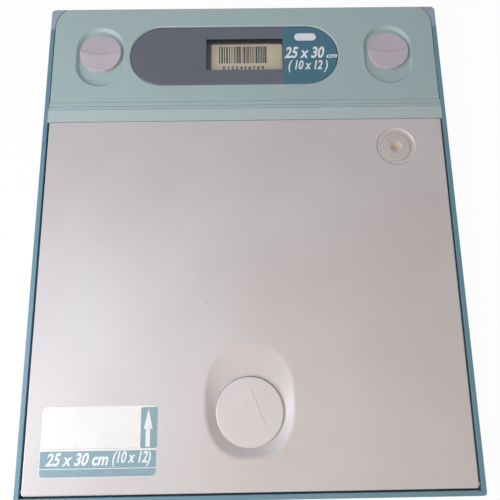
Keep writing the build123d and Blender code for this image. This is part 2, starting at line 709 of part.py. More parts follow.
# ---- the round disc, its retainer and spring -----------------------------------------------------------
def centre_button():
    body = rounded_edge_disc(DISC_R, DISC_UNDER, DISC_TOP, DISC_EDGE_R)
    body = body + disc(0, 0, DISC_UNDER, DISC_FLANGE_TOP, DISC_FLANGE_R)
    body = body - disc(0, 0, DISC_UNDER, DISC_TOP - DISC_TOP_T, DISC_R - DISC_WALL)
    apex = TRIANGLE_Y + TRIANGLE_L / 2
    base = TRIANGLE_Y - TRIANGLE_L / 2
    mark = Polyline((-TRIANGLE_W / 2, base), (TRIANGLE_W / 2, base), (0, apex), close=True)
    body = body + prism(make_face(mark), DISC_TOP - JOIN, DISC_TOP + TRIANGLE_T)
    return Pos(DISH_X, DISC_Y, 0) * body


def button_retainer():
    """Shallow cup under the dish: it traps the disc's flange and seats its spring."""
    cup = disc(0, 0, RETAINER_TOP - RETAINER_FLOOR, DISH_UNDER, RETAINER_R)
    cup = cup - disc(0, 0, RETAINER_TOP, DISH_UNDER + CUT, RETAINER_R - RETAINER_WALL)
    return Pos(DISH_X, DISC_Y, 0) * cup


def coil(radius, wire, turns, height):
    """A coil of square wire whose ends lie inside the given height, along +Z from 0."""
    pitch = (height - 2 * wire) / turns
    path = Helix(pitch=pitch, height=pitch * turns, radius=radius)
    section = Plane(origin=path @ 0, z_dir=path % 0) * Rectangle(wire, wire)
    return Pos(0, 0, wire) * sweep(section, path=path, is_frenet=True)


def centre_button_spring():
    height = DISC_TOP - DISC_TOP_T - RETAINER_TOP
    spring = coil(DISC_SPRING_R, DISC_SPRING_WIRE, DISC_SPRING_TURNS, height)
    return Pos(DISH_X, DISC_Y, RETAINER_TOP) * spring


# ---- the end cap and what it carries -------------------------------------------------------------------
def recess_plan(x, grow):
    return slot(x, RECESS_Y, RECESS_L + 2 * grow, RECESS_W + 2 * grow, 90)


def end_cap():
    """Teal moulded cover: two thumb recesses, a seat for the nameplate, three fine steps, a raised strip."""
    mid_y = (CAP_START_Y + CAP_FRONT_Y) / 2
    cap_l = CAP_FRONT_Y - CAP_START_Y
    plan = lid_plan(CAP_HALF_W, 0) & (Pos(0, mid_y) * Rectangle(2 * STRIP_HALF_W, cap_l))
    body = prism(plan, CAP_SIDE_UNDER, CAP_TOP)
    top = [e for e in body.edges().group_by(Axis.Z)[-1] if e.center().Y > CAP_START_Y + JOIN]
    body = fillet(top, CAP_EDGE_R)
    rise = (HEIGHT - CAP_TOP) / len(STEP_EDGES)
    widen = (STRIP_HALF_W - CAP_HALF_W) / len(STEP_EDGES)
    for level, edge in enumerate(reversed(STEP_EDGES), start=1):
        half = CAP_HALF_W + widen * level
        foot = SEAM_Y + edge
        body = body + block(-half, half, CAP_START_Y, foot, CAP_SIDE_UNDER, CAP_TOP + rise * level)
        groove_floor = CAP_TOP + rise * (level - 1) - STEP_GROOVE_DEEP
        body = body - block(-HALF_W, HALF_W, foot, foot + STEP_GROOVE_W, groove_floor, HEIGHT)
    skirt_plan = plan & (Pos(0, CAP_FRONT_Y) * Rectangle(2 * CAP_HALF_W, 2 * CAP_T))
    body = body + prism(skirt_plan, CAP_FRONT_UNDER, CAP_SIDE_UNDER + JOIN)

    inside = Pos(0, mid_y) * Rectangle(2 * CAP_HALF_W, cap_l - 2 * CAP_T)
    hollow_plan = lid_plan(CAP_HALF_W - CAP_T, -CAP_T) & inside
    body = body - prism(hollow_plan, CAP_FRONT_UNDER - CUT, CAP_UNDER)
    tongue_half = PANEL_HALF_W - TONGUE_INSET
    body = body + block(-tongue_half, tongue_half, CAP_START_Y - TONGUE_L, CAP_START_Y + CAP_T,
                        PANEL_UNDER - TONGUE_T, PANEL_UNDER)

    boss = slot(NAME_X, NAME_Y, NAME_L + CAP_T, NAME_W + CAP_T)
    body = body + prism(boss, CAP_UNDER - BOSS_T, CAP_UNDER)
    body = body - prism(slot(NAME_X, NAME_Y, NAME_L, NAME_W), NAME_FLOOR, CAP_TOP + CUT)
    lip = slot(NAME_X, NAME_Y, NAME_L + 2 * NAME_LIP, NAME_W + 2 * NAME_LIP)
    body = body - extrude(Pos(0, 0, CAP_TOP) * lip, amount=-NAME_LIP, taper=45)
    shroud_w = WINDOW_W + 2 * SHROUD_WALL + 2 * SHROUD_FIT
    shroud_l = WINDOW_L + 2 * SHROUD_WALL + 2 * SHROUD_FIT
    body = body - prism(rounded(WINDOW_X, WINDOW_Y, shroud_w, shroud_l, WINDOW_R), COVER_UNDER, CAP_TOP)

    for sign in (-1, 1):
        body = lock_seat(body, sign * LOCK_X)
    for x, y in cover_screw_spots():
        body = body + disc(x, y, COVER_TOP, CAP_UNDER + JOIN, COVER_BOSS_R)
        body = body - disc(x, y, COVER_TOP - CUT, CAP_UNDER - COVER_SCREW_SKIN, SCREW_R)
    return body


def lock_seat(body, x):
    """One lock's recess, stem slot, guide ribs and spring boss in the end cap."""
    depth = RECESS_DEEP + RECESS_FLOOR_T
    cup = extrude(Pos(0, 0, CAP_TOP) * recess_plan(x, RECESS_FLOOR_T), amount=-depth, taper=RECESS_SLOPE_DEG)
    bowl = extrude(Pos(0, 0, CAP_TOP) * recess_plan(x, 0), amount=-RECESS_DEEP, taper=RECESS_SLOPE_DEG)
    inner = SLIDE_W / 2 + SLIDE_SIDE_FIT
    rib_y0, rib_y1 = BOSS_Y - SPRING_BOSS_T, CAP_FRONT_Y - CAP_T
    body = body + cup
    for side in (-1, 1):
        a, b = sorted((side * inner, side * (inner + GUIDE_T)))
        body = body + block(x + a, x + b, rib_y0, rib_y1, COVER_TOP, CAP_UNDER)
    body = body + block(x - SPRING_BOSS_W / 2, x + SPRING_BOSS_W / 2, BOSS_Y - SPRING_BOSS_T, BOSS_Y,
                        COVER_TOP, CAP_UNDER)
    body = body - bowl
    half_w, half_l = STEM_W / 2 + STEM_FIT, STEM_L / 2 + STEM_FIT
    way = block(x - half_w, x + half_w, BUTTON_Y - LOCK_TRAVEL - half_l, BUTTON_Y + half_l,
                RECESS_UNDER - CUT, RECESS_FLOOR + CUT)
    return body - way


def nameplate():
    plan = slot(NAME_X, NAME_Y, NAME_L - 2 * NAME_FIT, NAME_W - 2 * NAME_FIT)
    plate = prism(plan, NAME_FLOOR, NAME_FLOOR + NAME_T)
    plate = chamfer(plate.edges().group_by(Axis.Z)[-1], NAME_BEVEL, 3 * NAME_BEVEL)
    return plate - prism(rounded(WINDOW_X, WINDOW_Y, WINDOW_W, WINDOW_L, WINDOW_R), NAME_FLOOR - CUT, CAP_TOP)


def window_shroud():
    """Black light-tight wall from the nameplate's back down to just over the barcode label."""
    outer_w, outer_l = WINDOW_W + 2 * SHROUD_WALL, WINDOW_L + 2 * SHROUD_WALL
    under = CODE_TOP + COVER_OVER_CODE
    body = prism(rounded(WINDOW_X, WINDOW_Y, outer_w, outer_l, WINDOW_R), under, NAME_FLOOR)
    way = rounded(WINDOW_X, WINDOW_Y, WINDOW_W, WINDOW_L, WINDOW_R)
    body = body - prism(way, under - CUT, NAME_FLOOR + CUT)
    return body - prism(pane_plan(0), NAME_FLOOR - PANE_T, NAME_FLOOR + CUT)


def pane_plan(fit):
    grow = 2 * (PANE_LIP - fit)
    return rounded(WINDOW_X, WINDOW_Y, WINDOW_W + grow, WINDOW_L + grow, WINDOW_R)


def window_pane():
    return prism(pane_plan(SHROUD_FIT), NAME_FLOOR - PANE_T, NAME_FLOOR)


def cover_screw_spots():
    low = CAP_START_Y + COVER_SCREW_LOW_IN
    side = CAP_HALF_W - COVER_SCREW_SIDE_IN
    arc = (-side, CAP_CORNER_Y - COVER_SCREW_ARC_IN)
    mid = (COVER_SCREW_MID_IN - LOCK_X, low)
    top = (COVER_SCREW_TOP_X_IN - LOCK_X, CAP_FRONT_Y - COVER_SCREW_TOP_IN)
    left = [(-side, low), arc, mid, top]
    return left + [(-x, y) for x, y in left]


def lock_cover():
    """Black plate that closes the lock space from inside, with ways for the window and for both hooks."""
    inset = CAP_T + CHANNEL_FIT
    plan = lid_plan(CAP_HALF_W - inset, -inset)
    y0, y1 = CAP_START_Y - TONGUE_L + COVER_END_IN, CAP_FRONT_Y - inset
    half = CAP_HALF_W - COVER_INSET
    whole = Pos(0, (SEAM_Y + y1) / 2) * Rectangle(2 * half, y1 - SEAM_Y)
    plan = (plan & whole) + Pos(0, (y0 + SEAM_Y + CUT) / 2) * Rectangle(2 * half, SEAM_Y + CUT - y0)
    body = prism(plan, COVER_UNDER, COVER_TOP)
    grow = 2 * SHROUD_WALL + 4 * SHROUD_FIT
    body = body - prism(rounded(WINDOW_X, WINDOW_Y, WINDOW_W + grow, WINDOW_L + grow, WINDOW_R), 0, HEIGHT)
    way = HOOK_W / 2 + 2 * SLIDE_SIDE_FIT
    way_start = NOSE_Y - LOCK_TRAVEL - SLIDE_SIDE_FIT
    for x in (-LOCK_X, LOCK_X):
        body = body - block(x - way, x + way, way_start, y1 - COVER_END_IN, 0, HEIGHT)
    for x, y in cover_screw_spots():
        body = body - countersunk(x, y, COVER_UNDER, COVER_T, 4 * COVER_T, flip=-1)
    return body


def cover_screws():
    bite = CAP_UNDER - COVER_SCREW_SKIN - COVER_UNDER
    return [countersunk(x, y, COVER_UNDER, COVER_T, bite, flip=-1) for x, y in cover_screw_spots()]


# ---- the lid's lining ----------------------------------------------------------------------------------
def lining(z0, z1, dish_grow):
    body = block(-LINING_HALF_W, LINING_HALF_W, LINING_START_Y, LINING_END_Y, z0, z1)
    hole = prism(dish_outline(dish_grow), z0 - CUT, z1 + CUT)
    seat = disc(SEAT_X, SEAT_Y, z0 - CUT, z1 + CUT, SEAT_RING_R + PANEL_T + LINING_FIT)
    return body - hole - seat


def lead_foil():
    return lining(LEAD_UNDER, PANEL_UNDER, PANEL_T + LINING_FIT)


def pressure_pad():
    return lining(LINER_TOP, LEAD_UNDER, PANEL_T + LINING_FIT)


def lid_liner():
    body = block(-LINING_HALF_W, LINING_HALF_W, LINING_START_Y, LINING_END_Y, LINER_UNDER, LINER_TOP)
    return body - disc(DISH_X, DISC_Y, LINER_UNDER - CUT, LINER_TOP + CUT, RETAINER_R + LINING_FIT)


# ---- the locks -----------------------------------------------------------------------------------------
def lock_button(x):
    """Round button with a scooped upper half, and the stem that joins it to the slide under the recess."""
    body = rounded_edge_disc(BUTTON_R, BUTTON_UNDER, BUTTON_TOP, BUTTON_EDGE_R)
    centre_y = SCOOP_Y + SCOOP_R
    edge_reach = centre_y - BUTTON_R
    lift = (SCOOP_R ** 2 - edge_reach ** 2 - SCOOP_DEEP ** 2) / (2 * SCOOP_DEEP)
    ball = Pos(0, centre_y, BUTTON_TOP + lift - SCOOP_STEP) * Sphere(math.hypot(SCOOP_R, lift))
    body = body - (ball & disc(0, centre_y, BUTTON_UNDER, HEIGHT, SCOOP_R))
    body = body + block(-STEM_W / 2, STEM_W / 2, -STEM_L / 2, STEM_L / 2, SLIDE_TOP, BUTTON_UNDER + JOIN)
    return Pos(x, BUTTON_Y, 0) * body


def peg_spots():
    mid = NOSE_Y - HOOK_SEAT_L / 2
    return (mid - PEG_PITCH / 2, mid + PEG_PITCH / 2)


def lock_slide(x):
    """Slide under the recess: a rebate for the hook's flange with two pegs, and a tail for the spring."""
    half = SLIDE_W / 2
    body = block(-half, half, TAIL_Y, NOSE_Y, SLIDE_UNDER, SLIDE_TOP)
    body = body - block(-half, half, NOSE_Y - HOOK_SEAT_L, NOSE_Y, SLIDE_UNDER, SLIDE_UNDER + HOOK_T)
    for y in peg_spots():
        body = body + disc(0, y, SLIDE_UNDER, SLIDE_UNDER + HOOK_T + JOIN, PEG_R)
    body = body + block(-SPRING_BOSS_W / 2, SPRING_BOSS_W / 2, TAIL_Y, TAIL_Y + TAIL_T, SLIDE_UNDER,
                        SLIDE_UNDER + TAIL_H)
    return Pos(x, 0, 0) * body


def lock_hook(x):
    """Pressed steel hook: flange under the slide, shank past the imaging plate, nose under the keeper."""
    nose_top = KEEPER_UNDER - KEEPER_UNDER_FIT
    nose_low = nose_top - HOOK_NOSE_T
    y_back = NOSE_Y
    y_front = NOSE_Y + HOOK_SHANK_T
    tip = y_front + HOOK_BITE
    seat_y = NOSE_Y - HOOK_SEAT_L
    points = [(seat_y, SLIDE_UNDER), (y_back, SLIDE_UNDER), (y_back, nose_low), (tip - HOOK_TIP, nose_low)]
    points += [(tip, nose_low + HOOK_TIP), (tip, nose_top), (y_front, nose_top)]
    points += [(y_front, SLIDE_UNDER + HOOK_T), (seat_y, SLIDE_UNDER + HOOK_T)]
    place = Plane(origin=(-HOOK_W / 2, 0, 0), x_dir=(0, 1, 0), z_dir=(1, 0, 0))
    body = extrude(place * make_face(Polyline(*points, close=True)), amount=HOOK_W)
    for y in peg_spots():
        body = body - disc(0, y, SLIDE_UNDER - CUT, SLIDE_TOP, PEG_R)
    return Pos(x, 0, 0) * body


def lock_spring(x):
    mid_z = SLIDE_UNDER + SPRING_R + SPRING_WIRE
    return Pos(x, TAIL_Y, mid_z) * Rot(90, 0, 0) * coil(SPRING_R, SPRING_WIRE, SPRING_TURNS, SPRING_REST)


# ---- every piece to its own file -----------------------------------------------------------------------
def main():
    os.makedirs("parts", exist_ok=True)
    left_rail = side_rail()
    write("left_rail", left_rail)
    write("right_rail", mirror(left_rail, FLIP))
    write("hinge_rail", hinge_rail())
    key = corner_key()
    write("corner_key_left", key)
    write("corner_key_right", mirror(key, FLIP))
    write("end_piece", end_piece())
    write("frame_screws", frame_screws())
    write("keeper_left", keeper(-LOCK_X))
    write("keeper_right", keeper(LOCK_X))
    write("keeper_screws", keeper_screws())
    write("hinge_pins", hinge_pins())
    write("front_plate", front_plate())
    write("foam_core", foam_core())
    write("felt_liner", felt_liner())
    write("imaging_plate", imaging_plate())
    write("barcode_label", barcode_label())
    write("light_seals", light_seals())
    write("lid_panel", lid_panel())
    write("centre_seat", centre_seat())
    bearing = hinge_block()
    write("hinge_block_left", bearing)
    write("hinge_block_right", mirror(bearing, FLIP))
    write("paper_label", paper_label())
    write("centre_button", centre_button())
    write("button_retainer", button_retainer())
    write("centre_button_spring", centre_button_spring())
    write("end_cap", end_cap())
    write("nameplate", nameplate())
    write("window_shroud", window_shroud())
    write("window_pane", window_pane())
    write("lock_cover", lock_cover())
    write("cover_screws", cover_screws())
    write("lead_foil", lead_foil())
    write("pressure_pad", pressure_pad())
    write("lid_liner", lid_liner())
    for side, x in (("left", -LOCK_X), ("right", LOCK_X)):
        write(f"{side}_lock_button", lock_button(x))
        write(f"{side}_lock_slide", lock_slide(x))
        write(f"{side}_lock_hook", lock_hook(x))
        write(f"{side}_lock_spring", lock_spring(x))


main()
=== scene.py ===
# %% [markdown]
# # An x-ray film cassette, dressed for the camera
#
# The real thing is a flat box, about 28 by 33 cm and 15 mm thick. A painted metal lid swings on two pins at
# one end. A moulded cap carries two thumb locks, a nameplate and a window over a bar code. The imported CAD
# model is the fixed frame: sizes and places are read from it, and this script adds only looks.

# %% Load the frame
import json
import math

import bmesh
import bpy
from mathutils import Matrix, Vector, noise


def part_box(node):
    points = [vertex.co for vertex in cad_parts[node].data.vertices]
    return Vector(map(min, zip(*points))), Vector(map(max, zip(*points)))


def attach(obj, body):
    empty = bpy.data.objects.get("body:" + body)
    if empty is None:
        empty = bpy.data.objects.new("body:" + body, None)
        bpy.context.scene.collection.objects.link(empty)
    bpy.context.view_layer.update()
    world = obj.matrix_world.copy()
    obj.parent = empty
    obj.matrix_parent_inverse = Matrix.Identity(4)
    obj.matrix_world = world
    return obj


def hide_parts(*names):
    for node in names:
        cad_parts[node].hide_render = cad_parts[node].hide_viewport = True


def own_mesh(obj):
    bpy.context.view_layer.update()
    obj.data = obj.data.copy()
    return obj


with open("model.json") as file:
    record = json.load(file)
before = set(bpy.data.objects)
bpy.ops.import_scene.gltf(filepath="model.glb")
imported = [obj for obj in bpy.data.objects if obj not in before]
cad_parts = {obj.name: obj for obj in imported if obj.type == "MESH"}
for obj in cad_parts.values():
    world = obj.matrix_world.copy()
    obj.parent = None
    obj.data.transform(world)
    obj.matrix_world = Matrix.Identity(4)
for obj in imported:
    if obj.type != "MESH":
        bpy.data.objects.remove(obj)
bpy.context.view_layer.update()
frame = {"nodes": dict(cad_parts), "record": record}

MM = 0.001

# %% [markdown]
# ## Camera
#
# The cassette fills the view, seen from about 28 cm above the lid and a little towards the hinge end. From
# so near, the walls of the recesses show and the far end looks narrower. The place and the turn are the
# camera's own, in metres and radians.

# %% Camera
CAMERA_AT = Vector((-0.743, -68.44, 292.65)) * MM
CAMERA_TURN = Vector((0.189, -0.007, -0.015))
LENS_MM = 31.107
NEAREST = 0.01

camera_data = bpy.data.cameras.new("camera")
camera_data.lens = LENS_MM
camera_data.clip_start = NEAREST
camera = bpy.data.objects.new("camera", camera_data)
bpy.context.scene.collection.objects.link(camera)
turn = Matrix.Rotation(CAMERA_TURN.length, 4, CAMERA_TURN.normalized())
camera.matrix_world = Matrix.Translation(CAMERA_AT) @ turn
bpy.context.scene.camera = camera
bpy.context.scene.view_settings.view_transform = "Standard"
print("camera at", [round(value, 4) for value in CAMERA_AT], "lens", LENS_MM)

# %% [markdown]
# ## Two small helpers for node trees
#
# Colours are easiest to choose as sRGB hex values, but shader sockets want linear light, so one function
# turns them. One more function adds any node, with its settings and its inputs. It serves the material trees
# and the Geometry Nodes trees alike.


# %% Helpers for colours and nodes
def linear(hex_colour):
    """An sRGB hex value such as "#9BAEAE" as linear light."""
    parts = [int(hex_colour[i:i + 2], 16) / 255 for i in (1, 3, 5)]
    light = [c / 12.92 if c <= 0.04045 else ((c + 0.055) / 1.055) ** 2.4 for c in parts]
    return (*light, 1.0)


def add_node(tree, kind, inputs=None, **settings):
    """Adds a node. Settings go on the node itself; an input is a value, or the socket that feeds it."""
    node = tree.nodes.new(kind)
    for name, value in settings.items():
        setattr(node, name, value)
    for key, value in (inputs or {}).items():
        if isinstance(value, bpy.types.NodeSocket):
            tree.links.new(value, node.inputs[key])
        else:
            node.inputs[key].default_value = value
    return node


# %% [markdown]
# ## Light and floor
#
# Five soft lamps face the middle of the cassette. The first stands low at the left of the hinge end. It rakes
# over the lid and leaves the right side darker, which models the dish and the thumb recesses. A cooler one
# stands higher on the same side, as a window would, and a large warm one hangs high above the hinge end. Two
# weak ones stand low beyond the ends: a warm one past the hinge and a bluish one past the locks. A plain
# world lifts the shadows. Where a camera, glossy or transmission ray meets the world or the floor, it sees
# white, so the lamps don't have to be raised to make the background pale.

# %% Light
LAMPS = (  # name, place and size in metres, watts, colour
    ("rake_lamp", (-0.55, -0.30, 0.30), 0.30, 2.5, "#FBFAFF"),
    ("window_lamp", (-0.36, -0.10, 0.55), 0.35, 1.7, "#E4F5FF"),
    ("ceiling_lamp", (0.12, -0.28, 0.85), 0.60, 1.55, "#FFE8CF"),
    ("foot_lamp", (0.05, -0.65, 0.25), 0.30, 0.75, "#FFE2BE"),
    ("far_lamp", (0.15, 0.60, 0.22), 0.30, 0.45, "#AFC0FF"),
)
WORLD_COLOUR = "#FFFFFF"
WORLD_LEVEL = 0.18


def softbox(name, place, size, power, colour):
    """A square area lamp that faces the middle of the cassette."""
    lamp = bpy.data.lights.new(name, "AREA")
    lamp.size = size
    lamp.energy = power
    lamp.color = linear(colour)[:3]
    holder = bpy.data.objects.new(name, lamp)
    bpy.context.scene.collection.objects.link(holder)
    aim = (-place).to_track_quat("-Z", "Y").to_matrix().to_4x4()
    holder.matrix_world = Matrix.Translation(place) @ aim


def seen_rays(tree):
    """1 for the rays that should see a white background: from the camera, or by way of gloss or glass."""
    path = add_node(tree, "ShaderNodeLightPath")
    seen = path.outputs["Is Camera Ray"]
    for kind in ("Is Glossy Ray", "Is Transmission Ray"):
        either = {0: seen, 1: path.outputs[kind]}
        seen = add_node(tree, "ShaderNodeMath", either, operation="MAXIMUM").outputs[0]
    return seen


for name, place, size, power, colour in LAMPS:
    softbox(name, Vector(place), size, power, colour)
world = bpy.data.worlds.new("studio")
world.use_nodes = True
bpy.context.scene.world = world
sky = world.node_tree
sky.nodes.clear()
lit = add_node(sky, "ShaderNodeBackground", {"Color": linear(WORLD_COLOUR), "Strength": WORLD_LEVEL})
white = add_node(sky, "ShaderNodeBackground", {"Color": (1, 1, 1, 1), "Strength": 1.0})
chosen = add_node(sky, "ShaderNodeMixShader", {0: seen_rays(sky), 1: lit.outputs[0], 2: white.outputs[0]})
add_node(sky, "ShaderNodeOutputWorld", {"Surface": chosen.outputs[0]})

# %% Floor
FLOOR_HALF = 3.0
FLOOR_DROP = 0.05 * MM
FLOOR_COLOUR = "#F2F2F2"
FLOOR_WHITE_SHARE = 0.95


def floor_paint():
    """Matt white, with part of its white given straight to the rays that should see it."""
    material = bpy.data.materials.new("studio_floor_white")
    material.use_nodes = True
    tree = material.node_tree
    tree.nodes.clear()
    matt = add_node(tree, "ShaderNodeBsdfDiffuse", {"Color": linear(FLOOR_COLOUR)})
    glow = add_node(tree, "ShaderNodeEmission", {"Color": (1, 1, 1, 1), "Strength": 1.0})
    share = add_node(tree, "ShaderNodeMath", {0: seen_rays(tree), 1: FLOOR_WHITE_SHARE}, operation="MULTIPLY")
    layers = {0: share.outputs[0], 1: matt.outputs[0], 2: glow.outputs[0]}
    both = add_node(tree, "ShaderNodeMixShader", layers)
    add_node(tree, "ShaderNodeOutputMaterial", {"Surface": both.outputs[0]})
    return material


def new_piece(name, mesh, material):
    """An object at the origin for a finished mesh, which holds its own place."""
    mesh.materials.clear()
    mesh.materials.append(material)
    piece = bpy.data.objects.new(name, mesh)
    bpy.context.scene.collection.objects.link(piece)
    return piece


floor_mesh = bpy.data.meshes.new("floor")
corners = [(x * FLOOR_HALF, y * FLOOR_HALF, -FLOOR_DROP) for x, y in ((-1, -1), (1, -1), (1, 1), (-1, 1))]
floor_mesh.from_pydata(corners, [], [(0, 1, 2, 3)])
new_piece("floor", floor_mesh, floor_paint())

# %% [markdown]
# ## A base for coated and moulded surfaces
#
# Paint, moulded plastic and paper are alike in one way: their colour drifts a little over a wide area, and a
# fine grit breaks their gloss. Both come from noise on Object coordinates, so they stay fixed to the piece,
# and each scale is a real size in millimetres. Every finish below starts here and adds what is its own.
# Grit on the real parts is 0.1 to 0.3 mm across. It is drawn two or three times as coarse, so that it shows.
# Noise gathers round its middle value, so each use names the part of its range that is spread from 0 to 1.

# %% The base finish
CLOUD_FROM, CLOUD_TO = 0.35, 0.65
GRIT_FROM, GRIT_TO = 0.3, 0.7
PATCH_FROM, PATCH_TO = 0.4, 0.62
EDGE_FROM, EDGE_TO = 0.99, 0.8   # cosine between the face and its rounded edge
MIX_A, MIX_B, MIX_OUT = 6, 7, 2  # the colour sockets of a Mix node
HAIRLINE_MM = 0.05


def base_finish(name, colour, drift, cloud_mm, grit_mm, relief_mm, rough, **surface):
    """A material whose colour drifts over clouds, and whose grit gives relief and an uneven gloss.

    The sizes are those of the clouds, of the grit and of the grit's height. rough is a range of roughness.
    """
    material = bpy.data.materials.new(name)
    material.use_nodes = True
    tree = material.node_tree
    tree.nodes.clear()
    place = add_node(tree, "ShaderNodeTexCoord").outputs["Object"]
    clouds = {"Vector": place, "Scale": 1 / (cloud_mm * MM), "Detail": 3.0}
    cloud = add_node(tree, "ShaderNodeTexNoise", clouds).outputs[0]
    between = {"Value": cloud, "From Min": CLOUD_FROM, "From Max": CLOUD_TO}
    spread = add_node(tree, "ShaderNodeMapRange", between).outputs[0]
    tones = {"Factor": spread, MIX_A: linear(colour), MIX_B: linear(drift)}
    tone = add_node(tree, "ShaderNodeMix", tones, data_type="RGBA")
    grits = {"Vector": place, "Scale": 1 / (grit_mm * MM), "Detail": 2.0}
    grit = add_node(tree, "ShaderNodeTexNoise", grits).outputs[0]
    gloss = add_node(tree, "ShaderNodeMapRange", {
        "Value": grit, "From Min": GRIT_FROM, "From Max": GRIT_TO, "To Min": rough[0], "To Max": rough[1]})
    bump = add_node(tree, "ShaderNodeBump", {"Height": grit, "Distance": relief_mm * MM})
    shader = add_node(tree, "ShaderNodeBsdfPrincipled", {
        "Base Color": tone.outputs[MIX_OUT], "Roughness": gloss.outputs[0], "Normal": bump.outputs[0]})
    for socket, value in surface.items():
        shader.inputs[socket.replace("_", " ")].default_value = value
    add_node(tree, "ShaderNodeOutputMaterial", {"Surface": shader.outputs[0]})
    return {"material": material, "tree": tree, "place": place, "shader": shader, "bump": bump}


def lay_over(coat, mask, colour):
    """Covers a finish with another colour where mask is 1."""
    colour_in = coat["shader"].inputs["Base Color"]
    below = colour_in.links[0].from_socket
    layers = {"Factor": mask, MIX_A: below, MIX_B: linear(colour)}
    mix = add_node(coat["tree"], "ShaderNodeMix", layers, data_type="RGBA")
    coat["tree"].links.new(mix.outputs[MIX_OUT], colour_in)


# Edges are worn, and where the colour is lighter, a painted highlight stands for light catching the edge.
def wear_and_highlight_edges(coat, colour, width_mm, patch_mm, most):
    """Edge wear in patches, up to the share `most`; where the colour is lighter, also a painted highlight."""
    tree = coat["tree"]
    rounded = add_node(tree, "ShaderNodeBevel", {"Radius": width_mm * MM}, samples=4).outputs[0]
    flat = add_node(tree, "ShaderNodeNewGeometry").outputs["Normal"]
    agree = add_node(tree, "ShaderNodeVectorMath", {0: rounded, 1: flat}, operation="DOT_PRODUCT")
    near = {"Value": agree.outputs["Value"], "From Min": EDGE_FROM, "From Max": EDGE_TO}
    edge = add_node(tree, "ShaderNodeMapRange", near).outputs[0]
    patches = {"Vector": coat["place"], "Scale": 1 / (patch_mm * MM), "Detail": 4.0}
    patch = add_node(tree, "ShaderNodeTexNoise", patches).outputs[0]
    worn = {"Value": patch, "From Min": PATCH_FROM, "From Max": PATCH_TO, "To Max": most}
    share = add_node(tree, "ShaderNodeMapRange", worn).outputs[0]
    mask = add_node(tree, "ShaderNodeMath", {0: edge, 1: share}, operation="MULTIPLY").outputs[0]
    lay_over(coat, mask, colour)


def beyond(coat, axis, edge_mm):
    """1 where the place is past edge_mm along an axis, and 0 before it, with a hairline's blur between."""
    along = add_node(coat["tree"], "ShaderNodeSeparateXYZ", {0: coat["place"]}).outputs[axis]
    low, high = (edge_mm - HAIRLINE_MM) * MM, (edge_mm + HAIRLINE_MM) * MM
    step = {"Value": along, "From Min": low, "From Max": high}
    return add_node(coat["tree"], "ShaderNodeMapRange", step).outputs[0]


# %% [markdown]
# ## The lid's paint
#
# Silver stove enamel on aluminium sheet. Flakes of metal in it give a soft sheen that changes with the angle,
# and rolling the sheet leaves streaks across it that are too faint to feel. A cassette that has been carried
# for years has a few dark specks too.

# %% Lid enamel
FLAKE_SHARE = 0.18
STREAK_LONG_MM = 60.0
STREAK_WIDE_MM = 0.9
STREAK_DEPTH = 0.02
SPECK_PITCH_MM = 46.0
SPECK_SIZE = 0.012
SPECK_CORE = 0.6


def silver_enamel():
    coat = base_finish("silver_stove_enamel", "#C3BDBE", "#BEB7B7", 70, 0.8, 0.018, (0.42, 0.56),
                       Metallic=FLAKE_SHARE)
    tree = coat["tree"]
    stretch = (1 / (STREAK_LONG_MM * MM), 1 / (STREAK_WIDE_MM * MM), 1 / (STREAK_WIDE_MM * MM))
    rolled = add_node(tree, "ShaderNodeMapping", {"Vector": coat["place"], "Scale": stretch}).outputs[0]
    streak = add_node(tree, "ShaderNodeTexNoise", {"Vector": rolled, "Scale": 1.0, "Detail": 2.0}).outputs[0]
    faint = {"Value": streak, "From Min": CLOUD_FROM, "From Max": CLOUD_TO, "To Max": STREAK_DEPTH}
    lay_over(coat, add_node(tree, "ShaderNodeMapRange", faint).outputs[0], "#9E989B")
    scattered = {"Vector": coat["place"], "Scale": 1 / (SPECK_PITCH_MM * MM)}
    away = add_node(tree, "ShaderNodeTexVoronoi", scattered).outputs["Distance"]
    dots = {"Value": away, "From Min": SPECK_SIZE, "From Max": SPECK_SIZE * SPECK_CORE}
    lay_over(coat, add_node(tree, "ShaderNodeMapRange", dots).outputs[0], "#8C8484")
    wear_and_highlight_edges(coat, "#DBD7D9", width_mm=0.5, patch_mm=12, most=0.5)
    return coat["material"]


enamel = silver_enamel()

# %% [markdown]
# ## The cap's plastic
#
# Moulded ABS in a greyed green-blue, with the fine matt skin that a spark-eroded mould gives. The raised
# strip along the seam is painted a little lighter than the rest: a painted highlight for the extra light
# that falls on it.

# %% Cap ABS
STRIP_MM = 9.3
STRIP_PAINTED_LIGHT = 0.6
strip_end_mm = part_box("lid_panel")[1].y / MM + STRIP_MM


def cap_abs():
    coat = base_finish("moulded_abs_green_blue", "#A6B9B8", "#A2B5B5", 80, 0.75, 0.03, (0.48, 0.62))
    tree = coat["tree"]
    # The strip is painted lighter: a painted highlight for the extra light that falls on it.
    before = {0: 1.0, 1: beyond(coat, 1, strip_end_mm)}
    on_strip = add_node(tree, "ShaderNodeMath", before, operation="SUBTRACT").outputs[0]
    pale = add_node(tree, "ShaderNodeMath", {0: on_strip, 1: STRIP_PAINTED_LIGHT}, operation="MULTIPLY").outputs[0]
    lay_over(coat, pale, "#BBC6C6")
    wear_and_highlight_edges(coat, "#CDD9D8", width_mm=0.35, patch_mm=9, most=0.45)
    return coat["material"]


cap_plastic = cap_abs()

# %% [markdown]
# ## Rails, end piece and buttons
#
# The rails are extruded aluminium with a blue-green powder coat: smoother than the cap, and lighter in
# patches along their edges, partly worn where the cassette slides into a rack and partly a painted highlight
# where light catches the edge. The end piece is grey ABS. The thumb buttons are ABS with a lilac cast and a
# face that years of thumbs have polished. A painted shadow lies along the ridge that the thumb pushes on, in
# a line that is an arc about a point beyond the button's far edge. The small round seat has painted warm
# light in its cup.

# %% Rails, end piece, buttons
SEAT_CUP_MM = 3.4
SEAT_CUP_CORE = 0.6
SEAT_CUP_WARM_LIGHT = 0.8
RIDGE_R_MM = 31.0
RIDGE_MIDDLE_MM = 29.5
RIDGE_LINE_MM = 0.45
RIDGE_SHADE = 0.6


